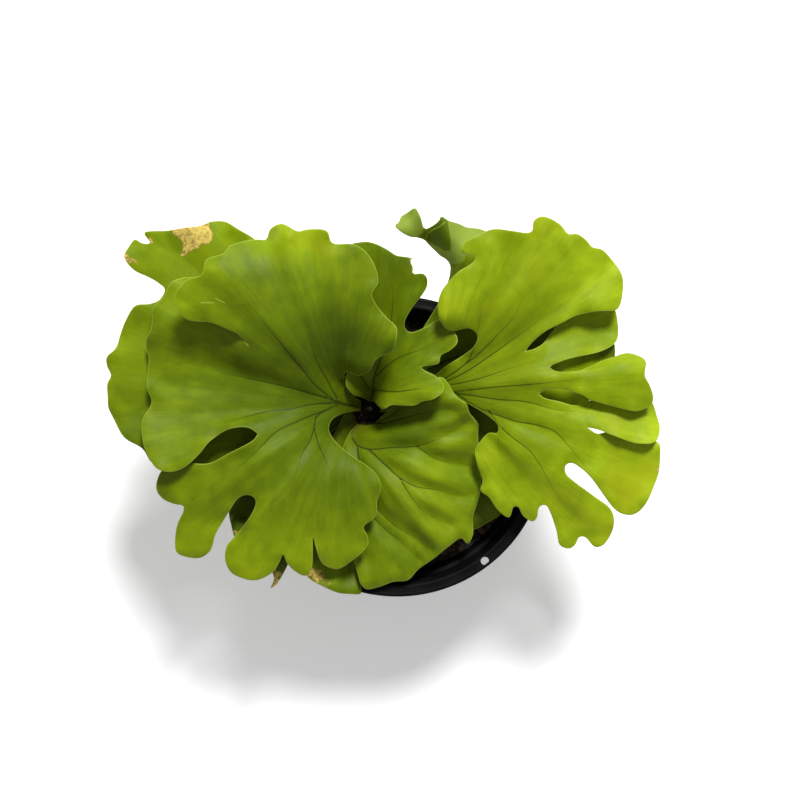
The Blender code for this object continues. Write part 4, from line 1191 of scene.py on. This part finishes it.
            [(-19, 22), (-34, 26), (-52, 36), (-65, 45), (-72, 51)],
            [(-19, 20), (-34, 21), (-49, 17), (-60, 12), (-69, 8)],
        ],
        heights=[
            (-19, 22, 2), (-24, 22, 9), (-29, 22, 16), (-37, 23, 22), (-47, 25, 27), (-44, 32, 32),
            (-52, 36, 38), (-65, 45, 48), (-72, 51, 52), (-59, 54, 54), (-47, 48, 47), (-62, 35, 36),
            (-72, 41, 41), (-56, 25, 31), (-49, 19, 30), (-60, 13, 35), (-69, 8, 39),
        ],
        lobe_heights=[[
            (-24, 29, 12), (-27, 35, 19), (-25, 38, 27), (-18, 38, 32), (-32, 36, 24), (-34, 41, 31),
            (-32, 49, 40), (-18, 49, 41), (-1, 56, 50), (-6, 68, 53), (-15, 73, 54), (-27, 67, 53),
            (-28, 56, 46), (-37, 59, 51), (-42, 49, 45), (-47, 54, 51), (-56, 62, 57), (-70, 68, 60),
            (-86, 72, 64), (-104, 72, 64), (-81, 90, 66), (-64, 98, 60), (-60, 106, 56), (-51, 104, 66),
            (-46, 101, 63), (-32, 99, 61), (-13, 91, 58), (-27, 77, 57), (-42, 73, 58), (-37, 86, 60),
        ], [
            (-94, 71, 46), (-116, 74, 45), (-78, 56, 49), (-89, 60, 45), (-115, 59, 42), (-83, 48, 41),
            (-103, 50, 38), (-121, 50, 37), (-99, 38, 32), (-119, 37, 33), (-79, 36, 34), (-92, 27, 32),
            (-119, 25, 34), (-98, 15, 36), (-123, 15, 37), (-78, 17, 36), (-115, -8, 39), (-98, 2, 38),
            (-78, 10, 39), (-125, 5, 39),
        ], [
            (-78, 0, 38), (-99, -16, 32), (-118, -20, 27), (-106, -52, 21), (-70, -25, 34), (-75, -63, 20),
            (-49, -5, 34), (-49, -26, 30), (-50, -60, 20), (-26, -21, 27), (-27, -58, 18), (-9, -21, 23),
            (-19, -7, 24), (-32, 4, 21), (-33, 15, 19), (-27, 18, 12), (-39, 4, 26),
        ]],
        focus=(-27, 22),
        veins=[
            [
                (-18, 20), (-24, 22), (-29, 23), (-37, 23), (-46, 22), (-54, 20), (-65, 19), (-77, 16),
                (-96, 13),
            ],
            [(-31, 23), (-33, 25), (-41, 32), (-47, 40), (-53, 48), (-65, 64), (-74, 76)],
            [(-29, 23), (-32, 28), (-36, 36), (-39, 42), (-42, 52), (-43, 61)],
            [(-34, 25), (-40, 27), (-47, 29), (-54, 31), (-67, 34), (-86, 38), (-101, 42)],
            [(-31, 22), (-37, 19), (-41, 16), (-42, 11), (-44, 4), (-47, -1), (-50, -10), (-53, -21)],
            [(-38, 19), (-43, 17), (-50, 14), (-60, 9), (-69, 0), (-78, -8), (-91, -15)],
            [(-42, 11), (-40, 3), (-35, -8), (-30, -21)],
        ],
        creases=[
            [(-93, 71), (-87, 71)],
            [(-86, 73), (-82, 71)],
        ],
        # The lowest tones, in the upper lobe's hollow and beside the foot, paint the shade that lies there.
        tones=[
            (-104, 72, 0.66), (-86, 86, 0.5), (-64, 84, 0.3), (-51, 82, 0.35), (-54, 105, 0.8),
            (-32, 99, 0.62), (-46, 101, 0.85), (-37, 59, 0.05), (-23, 54, 0.02), (-6, 59, 0.4),
            (-22, 92, 0.4), (-119, 25, 0.42), (-123, 55, 0.35), (-74, 30, 0.2), (-49, 25, 0.12),
            (-115, -3, 0.45), (-115, -21, 0.45), (-106, -50, 0.62), (-75, -57, 0.68), (-50, -57, 0.62),
            (-29, -16, 0.2), (-27, -55, 0.55), (-68, -15, 0.35), (-32, 14, 0.1),
        ],
        dry_spots=[(-41, -57, 3, 0.7)],
    ),
}


# ---- fronds: plan ----------------------------------------------------------------------------------------

HEIGHT_SMOOTHING = 0.002
SEAM_BLEND = 12.0
MARGIN_STEP = 1.5
EDGE_RINGS = (0.35, 1.1)
VEIN_STEP = 1.6
CREASE_STEP = 1.0
VEIN_HALF_WIDTH = 0.75
EDGE_THICKNESS = 0.3
SPAN_CUTS = 12
PLATE_SCALE = 30.0  # the length that the equations of a height surface count in
ROW_SPACING = 0.866
EDGE_POINT_GAP = 0.5
VEIN_POINT_GAP = 0.45
VEIN_TO_SEAM = 0.3
VEIN_TO_MARGIN = 1.6
BLOCK = 400  # places measured at once, which keeps the arrays small


def smooth_line(points, step):
    """A centripetal Catmull-Rom curve through the points, cut into equal steps of about the given length."""
    given = [np.array(point, float) for point in points]
    ends = [2 * given[0] - given[1], *given, 2 * given[-1] - given[-2]]
    dense = []
    for i in range(len(given) - 1):
        a, b, c, d = ends[i:i + 4]
        tb = math.sqrt(max(np.linalg.norm(b - a), 1e-6))
        tc = tb + math.sqrt(max(np.linalg.norm(c - b), 1e-6))
        td = tc + math.sqrt(max(np.linalg.norm(d - c), 1e-6))
        for t in np.linspace(tb, tc, SPAN_CUTS, endpoint=False):
            ab = (tb - t) / tb * a + t / tb * b
            bc = (tc - t) / (tc - tb) * b + (t - tb) / (tc - tb) * c
            cd = (td - t) / (td - tc) * c + (t - tc) / (td - tc) * d
            abc = (tc - t) / tc * ab + t / tc * bc
            bcd = (td - t) / (td - tb) * bc + (t - tb) / (td - tb) * cd
            dense.append((tc - t) / (tc - tb) * abc + (t - tb) / (tc - tb) * bcd)
    dense.append(given[-1])
    dense = np.array(dense)
    along = np.concatenate([[0.0], np.cumsum(np.linalg.norm(np.diff(dense, axis=0), axis=1))])
    count = max(1, round(along[-1] / step))
    places = np.linspace(0.0, along[-1], count + 1)
    return np.stack([np.interp(places, along, dense[:, k]) for k in (0, 1)], axis=1)


def height_surface(points):
    """A thin-plate surface through (x, y, height) points, as a function of an array of plan positions."""
    known = np.array(points, float)
    plan = known[:, :2] / PLATE_SCALE
    count = len(plan)

    def bend(distance):
        return np.where(distance > 0, distance ** 2 * np.log(np.maximum(distance, 1e-9)), 0.0)

    system = np.zeros((count + 3, count + 3))
    system[:count, :count] = bend(np.linalg.norm(plan[:, None] - plan[None], axis=2))
    system[:count, :count] += np.eye(count) * HEIGHT_SMOOTHING
    system[:count, count] = 1.0
    system[:count, count + 1:] = plan
    system[count:, :count] = system[:count, count:].T
    weights = np.linalg.solve(system, np.concatenate([known[:, 2], np.zeros(3)]))

    def height(places):
        places = np.atleast_2d(places) / PLATE_SCALE
        reach = np.linalg.norm(places[:, None] - plan[None], axis=2)
        return bend(reach) @ weights[:count] + weights[count] + places @ weights[count + 1:]

    return height


class Lines:
    """Some lines in plan. They say how far places are from them and where along them the nearest point is."""

    def __init__(self, lines):
        self.start = np.concatenate([line[:-1] for line in lines])
        self.step = np.concatenate([np.diff(line, axis=0) for line in lines])
        self.length = np.maximum(np.linalg.norm(self.step, axis=1), 1e-9)
        sums = [np.cumsum(np.linalg.norm(np.diff(line, axis=0), axis=1)) for line in lines]
        self.along = np.concatenate([np.concatenate([[0.0], total[:-1]]) for total in sums])
        self.whole = np.concatenate([np.full(len(total), total[-1]) for total in sums])

    def measure(self, places):
        """For each place: its distance, the length along its nearest line, and that as a share of it."""
        found = []
        for block in np.array_split(places, len(places) // BLOCK + 1):
            toward = block[:, None] - self.start
            share = np.clip((toward * self.step).sum(axis=2) / self.length ** 2, 0.0, 1.0)
            gap = np.linalg.norm(toward - share[..., None] * self.step, axis=2)
            rows, best = np.arange(len(block)), gap.argmin(axis=1)
            along = self.along[best] + share[rows, best] * self.length[best]
            found.append(np.stack([gap[rows, best], along, along / self.whole[best]]))
        return np.concatenate(found, axis=1)

    def distance(self, places):
        return self.measure(places)[0]


def inside(places, outline):
    """Which places lie inside a closed outline."""
    x, y = places[:, 0][:, None], places[:, 1][:, None]
    x0, y0 = outline[:, 0], outline[:, 1]
    x1, y1 = np.roll(x0, -1), np.roll(y0, -1)
    crosses = (y0 > y) != (y1 > y)
    rise = np.where(y1 == y0, 1e-12, y1 - y0)
    return (crosses & (x < x0 + (y - y0) * (x1 - x0) / rise)).sum(axis=1) % 2 == 1


def smooth(values, low, high):
    """0 below low, 1 above high, and smooth between."""
    share = np.clip((values - low) / (high - low), 0.0, 1.0)
    return share * share * (3 - 2 * share)


def thin_out(points, gap):
    """Keeps one point in each square as wide as the gap."""
    _, first = np.unique(np.round(points / gap).astype(int), axis=0, return_index=True)
    return points[np.sort(first)]


def beside(line, offset):
    """The line moved sideways."""
    along = np.gradient(line, axis=0)
    along /= np.maximum(np.linalg.norm(along, axis=1, keepdims=True), 1e-9)
    return line + np.stack([-along[:, 1], along[:, 0]], axis=1) * offset


def grid_points(outline, step):
    """A triangular grid over the outline's box."""
    low, high = outline.min(axis=0), outline.max(axis=0)
    rows = []
    for row, y in enumerate(np.arange(low[1], high[1], step * ROW_SPACING)):
        x = np.arange(low[0] + step / 2 * (row % 2), high[0], step)
        rows.append(np.stack([x, np.full(len(x), y)], axis=1))
    return np.concatenate(rows)


class Lobe:
    """One lobe of a frond in plan: its margin, the seams it shares with its neighbours, and its points."""

    def __init__(self, frond, number):
        seams = frond.seams
        before = seams[number - 1] if number > 0 else None
        after = seams[number] if number < len(seams) else None
        margin = list(frond.margins[number])
        if before is not None:
            margin.insert(0, before[-1])
        if after is not None:
            margin.append(after[-1])
        self.margin = smooth_line(margin, MARGIN_STEP)
        self.borders = [smooth_line(seam, MARGIN_STEP) for seam in (before, after) if seam is not None]
        outline = [self.margin]
        if before is not None:
            outline.insert(0, self.borders[0][:-1])
        if after is not None:
            outline.append(self.borders[-1][-2::-1])
        self.outline = np.concatenate(outline)

    def within(self, lines):
        """All the points of the lines that lie inside the lobe."""
        points = np.concatenate(lines)
        return points[inside(points, self.outline)]

    def fill(self, veins, creases, step):
        """Triangles for the lobe, fine along its margin and its veins. Returns its places and faces."""
        ring = Lines([np.concatenate([self.outline, self.outline[:1]])])
        offsets = [offset * side for offset in EDGE_RINGS for side in (-1, 1)]
        edge_points = self.within([beside(self.margin, offset) for offset in offsets])
        edge_points = thin_out(edge_points[ring.distance(edge_points) > EDGE_RINGS[0] * 0.95], EDGE_POINT_GAP)
        offsets = (0.0, VEIN_HALF_WIDTH, -VEIN_HALF_WIDTH)
        vein_points = self.within([beside(line, offset) for offset in offsets for line in veins + creases])
        clear = ring.distance(vein_points) > VEIN_TO_SEAM
        clear &= Lines([self.margin]).distance(vein_points) > VEIN_TO_MARGIN
        vein_points = thin_out(vein_points[clear], VEIN_POINT_GAP)
        grid = self.within([grid_points(self.outline, step)])
        grid = grid[ring.distance(grid) > EDGE_RINGS[-1] + 0.5 * step]
        grid = grid[Lines(veins).distance(grid) > VEIN_HALF_WIDTH + 0.45 * step]
        flat = np.concatenate([self.outline, edge_points, vein_points, grid])
        count = len(self.outline)
        edges = [(i, (i + 1) % count) for i in range(count)]
        places, _, faces, _, _, _ = delaunay_2d_cdt([tuple(p) for p in flat], edges, [], 1, 1e-5)
        return np.array([tuple(place) for place in places]), faces

    def heights(self, frond, number, places):
        """Heights on the lobe. Close to a seam they are the ones that the whole frond shares."""
        shared = height_surface(frond.heights)(places)
        if not self.borders:
            return shared, np.ones(len(places))
        own = height_surface(frond.heights + frond.lobe_heights[number])(places)
        free = smooth(Lines(self.borders).distance(places), 0.0, SEAM_BLEND)
        return shared * (1 - free) + own * free, free


# ---- fronds: relief and marks ----------------------------------------------------------------------------

# Waves along the margin, each (length, share of the ruffle's height).
RUFFLE_WAVES = ((24.0, 1.0), (14.5, 0.6), (41.0, 0.7))
RUFFLE_DEPTH = 7.0
# Folds about the focus, each (how many in a full turn, share of the height of a pleat).
PLEAT_FOLDS = ((9, 1.0), (17, 0.7), (31, 0.35))
PLEAT_REACH = 50.0
PLEAT_START = 8.0
PILLOW_WIDTH = 7.0
PILLOW_MARGIN = 4.0
VEIN_GROOVE = 0.28
GROOVE_WIDTH = 1.4
EDGE_TAPER = 1.4
FOOT_REACH = 5.0
FOOT_SWELL = 1.2
TONE_BLUR = 3.0
TONE_FALL = 2.5
FAN_WIDTH = 14.0
FAN_LENGTH = 22.0
OUTSIDE = -9.0  # depth in a turned-over patch, where a frond has none


def waves(values, folds, draw):
    """A sum of sines, each (how often, how high), with phases drawn at random."""
    return sum(high * np.sin(values * often + draw.uniform(0, math.tau)) for often, high in folds)


def blend_youth_and_painted_light(places, tones):
    """Blends the values of a few (x, y, tone) points over the places: the leaf's age colour, with the light
    and shade that some of them paint.
    """
    known = np.array(tones, float)
    reach = np.linalg.norm(places[:, None] - known[None, :, :2], axis=2) + TONE_BLUR
    weight = reach ** -TONE_FALL
    return (weight * known[:, 2]).sum(axis=1) / weight.sum(axis=1)


def dryness(places, spots):
    """How dry the leaf is at each place, from (x, y, radius, strength) spots."""
    worst = np.zeros(len(places))
    for x, y, radius, strength in spots:
        gap = np.hypot(places[:, 0] - x, places[:, 1] - y)
        worst = np.maximum(worst, strength * (1 - smooth(gap, 0.4 * radius, 1.3 * radius)))
    return worst


def fan_position(places, focus, away):
    """Bearing and reach of each place about the point where the frond's soft folds gather."""
    toward = places - np.array(focus, float)
    bearing = np.arctan2(toward[:, 1], toward[:, 0]) - math.atan2(away[1], away[0])
    bearing = (bearing + math.pi) % math.tau - math.pi
    return bearing, np.linalg.norm(toward, axis=1)


def fan_direction(frond):
    """The direction from the frond's focus to the middle of its height points."""
    points = np.array([point[:2] for point in frond.heights], float)
    return points.mean(axis=0) - np.array(frond.focus, float)


def rooted(veins):
    """Every vein from the frond's foot: a branch first runs along the vein that it leaves."""
    whole = []
    for points in veins:
        line = smooth_line(points, VEIN_STEP)
        if whole:
            gaps = [np.linalg.norm(trunk - line[0], axis=1) for trunk in whole]
            parent = min(range(len(whole)), key=lambda i: gaps[i].min())
            line = np.concatenate([whole[parent][:max(gaps[parent].argmin() - 2, 1)], line])
        whole.append(line)
    return whole


def frond_sheet(frond, settings, pillow, draw):
    """Every lobe of a frond, joined along the seams: places, faces and what is known at each place."""
    veins = rooted(frond.veins)
    creases = [smooth_line(line, CREASE_STEP) for line in frond.creases]
    vein_lines = Lines(veins)
    ruffle_draw, pleat_draw = random.Random(draw.random()), draw.random()
    index, places, known, faces = {}, [], [], []
    for number in range(len(frond.margins)):
        lobe = Lobe(frond, number)
        plan, triangles = lobe.fill(veins, creases, settings.mesh_step * TO_MM)
        height, free = lobe.heights(frond, number, plan)
        edge, along, _ = Lines([lobe.margin]).measure(plan)
        gap, _, share = vein_lines.measure(plan)
        bearing, reach = fan_position(plan, frond.focus, fan_direction(frond))
        height += pillow * (smooth(gap, 0.0, PILLOW_WIDTH) - 0.5) * smooth(edge, 0.0, PILLOW_MARGIN)
        height -= VEIN_GROOVE * (1 - share) * (1 - smooth(gap, 0.0, GROOVE_WIDTH))
        folds = waves(bearing, PLEAT_FOLDS, random.Random(pleat_draw))
        height += settings.pleat * TO_MM * folds * smooth(reach, PLEAT_START, PLEAT_REACH)
        ripples = waves(along, [(math.tau / length, high) for length, high in RUFFLE_WAVES], ruffle_draw)
        height += settings.ruffle * TO_MM * ripples * (1 - smooth(edge, 0.0, RUFFLE_DEPTH)) * free
        facts = np.stack([height, edge, gap, share, bearing, reach], axis=1)
        numbers = []
        for place, fact, seam in zip(plan, facts, free <= 1e-6):
            key = tuple(np.round(place, 2)) if seam and lobe.borders else (number, *place)
            if key not in index:
                index[key] = len(places)
                places.append(place)
                known.append(fact)
            numbers.append(index[key])
        faces += [[numbers[i] for i in face] for face in triangles]
    return np.array(places), faces, np.array(known)


def rim_edges(faces):
    """The directed edges that only one face has."""
    edges = {(face[i - 1], face[i]) for face in faces for i in range(len(face))}
    return [(a, b) for a, b in edges if (b, a) not in edges]


def turned_over(places, patches):
    """Distance inside the closed patches where the leaf shows its underside, negative outside them."""
    depth = np.full(len(places), OUTSIDE)
    for patch in patches:
        outline = np.array([*patch, patch[0]], float)
        gap = Lines([outline]).distance(places)
        depth = np.maximum(depth, np.where(inside(places, outline[:-1]), gap, -gap))
    return depth


def leaf_mesh(name, frond, settings, pillow, draw):
    """The frond as a closed leaf, thin at its margin, in metres."""
    plan, faces, known = frond_sheet(frond, settings, pillow, draw)
    height, edge, gap, share, bearing, reach = known.T
    foot = np.exp(-np.hypot(*(plan - np.array(frond.veins[0][0], float)).T) / FOOT_REACH)
    swell = settings.thickness * TO_MM - EDGE_THICKNESS
    half = (EDGE_THICKNESS + swell * np.sqrt(smooth(edge, 0, EDGE_TAPER))) / 2
    half = half * (1 + FOOT_SWELL * foot)
    upper = np.column_stack([plan, RIM_TOP + height + half])
    lower = np.column_stack([plan, RIM_TOP + height - half])
    points = np.concatenate([upper, lower])
    count = len(plan)
    shell = list(faces) + [[i + count for i in reversed(face)] for face in faces]
    shell += [[b, a, a + count, b + count] for a, b in rim_edges(faces)]
    mesh = bpy.data.meshes.new(name)
    mesh.from_pydata((points * MM).tolist(), [], shell)
    creases = [np.array(line, float) for line in frond.creases]
    crease = Lines(creases).distance(plan) if creases else edge
    marks = {
        "edge": np.minimum(edge, crease),
        "vein_gap": gap,
        "vein_share": share,
        "youth": blend_youth_and_painted_light(plan, frond.tones),
        "dry": dryness(plan, frond.dry_spots),
        "foot": foot,
        "fan": np.column_stack([bearing * FAN_WIDTH, reach / FAN_LENGTH, np.zeros(count)]),
        "turned": turned_over(plan, frond.turned),
    }
    for label, values in marks.items():
        set_attribute(mesh, label, np.concatenate([values, values]))
    set_attribute(mesh, "side", np.concatenate([np.zeros(count), np.ones(count)]))
    return mesh


def make_fronds(kind, settings, pillow, slot):
    """Every frond whose name starts with the given kind."""
    finish = leaf_material(slot, settings)
    for number, (node, frond) in enumerate(FRONDS.items()):
        if node.startswith(kind):
            draw = random.Random(SEED + 10 * number)
            name = node.replace(kind, "leaf" if kind == "frond" else "basal_leaf")
            add_piece(name, leaf_mesh(name, frond, settings, pillow, draw), finish, slot, node)


# ---- stage -----------------------------------------------------------------------------------------------

FLOOR_HALF_WIDTH = 3000.0


def make_floor(settings):
    bm = bmesh.new()
    bmesh.ops.create_grid(bm, x_segments=8, y_segments=8, size=FLOOR_HALF_WIDTH * MM)
    mesh = bpy.data.meshes.new("floor")
    bm.to_mesh(mesh)
    bm.free()
    mesh.materials.append(floor_material(settings))
    floor = bpy.data.objects.new("floor", mesh)
    bpy.context.scene.collection.objects.link(floor)


def make_camera(settings):
    camera = bpy.data.cameras.new("camera")
    camera.lens = settings.lens
    holder = bpy.data.objects.new("camera", camera)
    holder.location = (settings.camera_x, settings.camera_y, settings.camera_height)
    bpy.context.scene.collection.objects.link(holder)
    bpy.context.scene.camera = holder


def make_lights(settings):
    """One broad panel above and behind the plant, and even light from all round."""
    panel = bpy.data.lights.new("key_light", "AREA")
    panel.energy = settings.key_power
    panel.size = settings.key_size
    panel.shape = "DISK"
    holder = bpy.data.objects.new("key_light", panel)
    x, y = polar(math.degrees(settings.key_bearing), math.cos(settings.key_rise))
    direction = Vector((x, y, math.sin(settings.key_rise)))
    aim = Vector((0.0, 0.0, POT_LIMIT.z))
    holder.location = aim + direction * settings.key_distance
    holder.rotation_euler = direction.to_track_quat("Z", "Y").to_euler()
    bpy.context.scene.collection.objects.link(holder)
    world = bpy.data.worlds.new("soft_light")
    world.use_nodes = True
    sky = world.node_tree.nodes["Background"]
    sky.inputs["Color"].default_value = (1.0, 1.0, 1.0, 1.0)
    sky.inputs["Strength"].default_value = settings.sky
    bpy.context.scene.world = world


# ---- operators and panel ---------------------------------------------------------------------------------

class FERN_OT_stage(bpy.types.Operator):
    """Adds the floor, the lights and the camera."""

    bl_idname = "fern.stage"
    bl_label = "Stage"

    def execute(self, context):
        settings = context.scene.fern_stage
        make_floor(settings)
        make_lights(settings)
        make_camera(settings)
        context.scene.view_settings.view_transform = "Standard"
        return {"FINISHED"}


class FERN_OT_pot(bpy.types.Operator):
    """Adds the nursery pot with its hanger and drain holes."""

    bl_idname = "fern.pot"
    bl_label = "Nursery pot"

    def execute(self, context):
        make_pot(context.scene.fern_pot)
        return {"FINISHED"}


class FERN_OT_mix(bpy.types.Operator):
    """Adds the potting mix with its loose bark and coir."""

    bl_idname = "fern.mix"
    bl_label = "Potting mix"

    def execute(self, context):
        make_potting_mix(context.scene.fern_mix, context.scene.fern_pot)
        make_flakes(context.scene.fern_mix, context.scene.fern_pot)
        return {"FINISHED"}


class FERN_OT_chips(bpy.types.Operator):
    """Adds the bark chips that lie on the mix."""

    bl_idname = "fern.chips"
    bl_label = "Bark chips"

    def execute(self, context):
        make_bark_chips(context.scene.fern_mix)
        return {"FINISHED"}


class FERN_OT_crown(bpy.types.Operator):
    """Adds the felted crown and the furled bud on it."""

    bl_idname = "fern.crown"
    bl_label = "Crown and bud"

    def execute(self, context):
        make_crown(context.scene.fern_crown)
        make_bud(context.scene.fern_crown)
        return {"FINISHED"}


class FERN_OT_shields(bpy.types.Operator):
    """Adds the shield fronds that cover the mix."""

    bl_idname = "fern.shields"
    bl_label = "Shield fronds"

    def execute(self, context):
        leaf = context.scene.fern_leaf
        make_fronds("shield", leaf, leaf.shield_pillow * TO_MM, "shield_leaf")
        return {"FINISHED"}


class FERN_OT_fronds(bpy.types.Operator):
    """Adds the broad fertile fronds."""

    bl_idname = "fern.fronds"
    bl_label = "Fertile fronds"

    def execute(self, context):
        leaf = context.scene.fern_leaf
        make_fronds("frond", leaf, leaf.pillow * TO_MM, "frond_leaf")
        return {"FINISHED"}


OPERATORS = (
    FERN_OT_stage, FERN_OT_pot, FERN_OT_mix, FERN_OT_chips, FERN_OT_crown, FERN_OT_shields, FERN_OT_fronds,
)
GROUPS = {
    "fern_stage": FERN_PG_stage,
    "fern_pot": FERN_PG_pot,
    "fern_mix": FERN_PG_mix,
    "fern_crown": FERN_PG_crown,
    "fern_leaf": FERN_PG_leaf,
}


class FERN_PT_sidebar(bpy.types.Panel):
    """Lists the fern's operators and the settings they use."""

    bl_label = "Potted Staghorn Fern"
    bl_idname = "FERN_PT_sidebar"
    bl_space_type = "VIEW_3D"
    bl_region_type = "UI"
    bl_category = "Fern"

    def draw(self, context):
        for operator in OPERATORS:
            self.layout.operator(operator.bl_idname)
        for name, group in GROUPS.items():
            box = self.layout.box()
            settings = getattr(context.scene, name)
            for item in group.__annotations__:
                box.prop(settings, item)


def register():
    for cls in (*GROUPS.values(), *OPERATORS, FERN_PT_sidebar):
        bpy.utils.register_class(cls)
    for name, group in GROUPS.items():
        setattr(bpy.types.Scene, name, bpy.props.PointerProperty(type=group))


def unregister():
    for name in GROUPS:
        delattr(bpy.types.Scene, name)
    for cls in reversed((*GROUPS.values(), *OPERATORS, FERN_PT_sidebar)):
        bpy.utils.unregister_class(cls)


def main():
    register()
    for step in ("stage", "pot", "mix", "chips", "crown", "shields", "fronds"):
        getattr(bpy.ops.fern, step)()


if __name__ == "__main__":
    main()
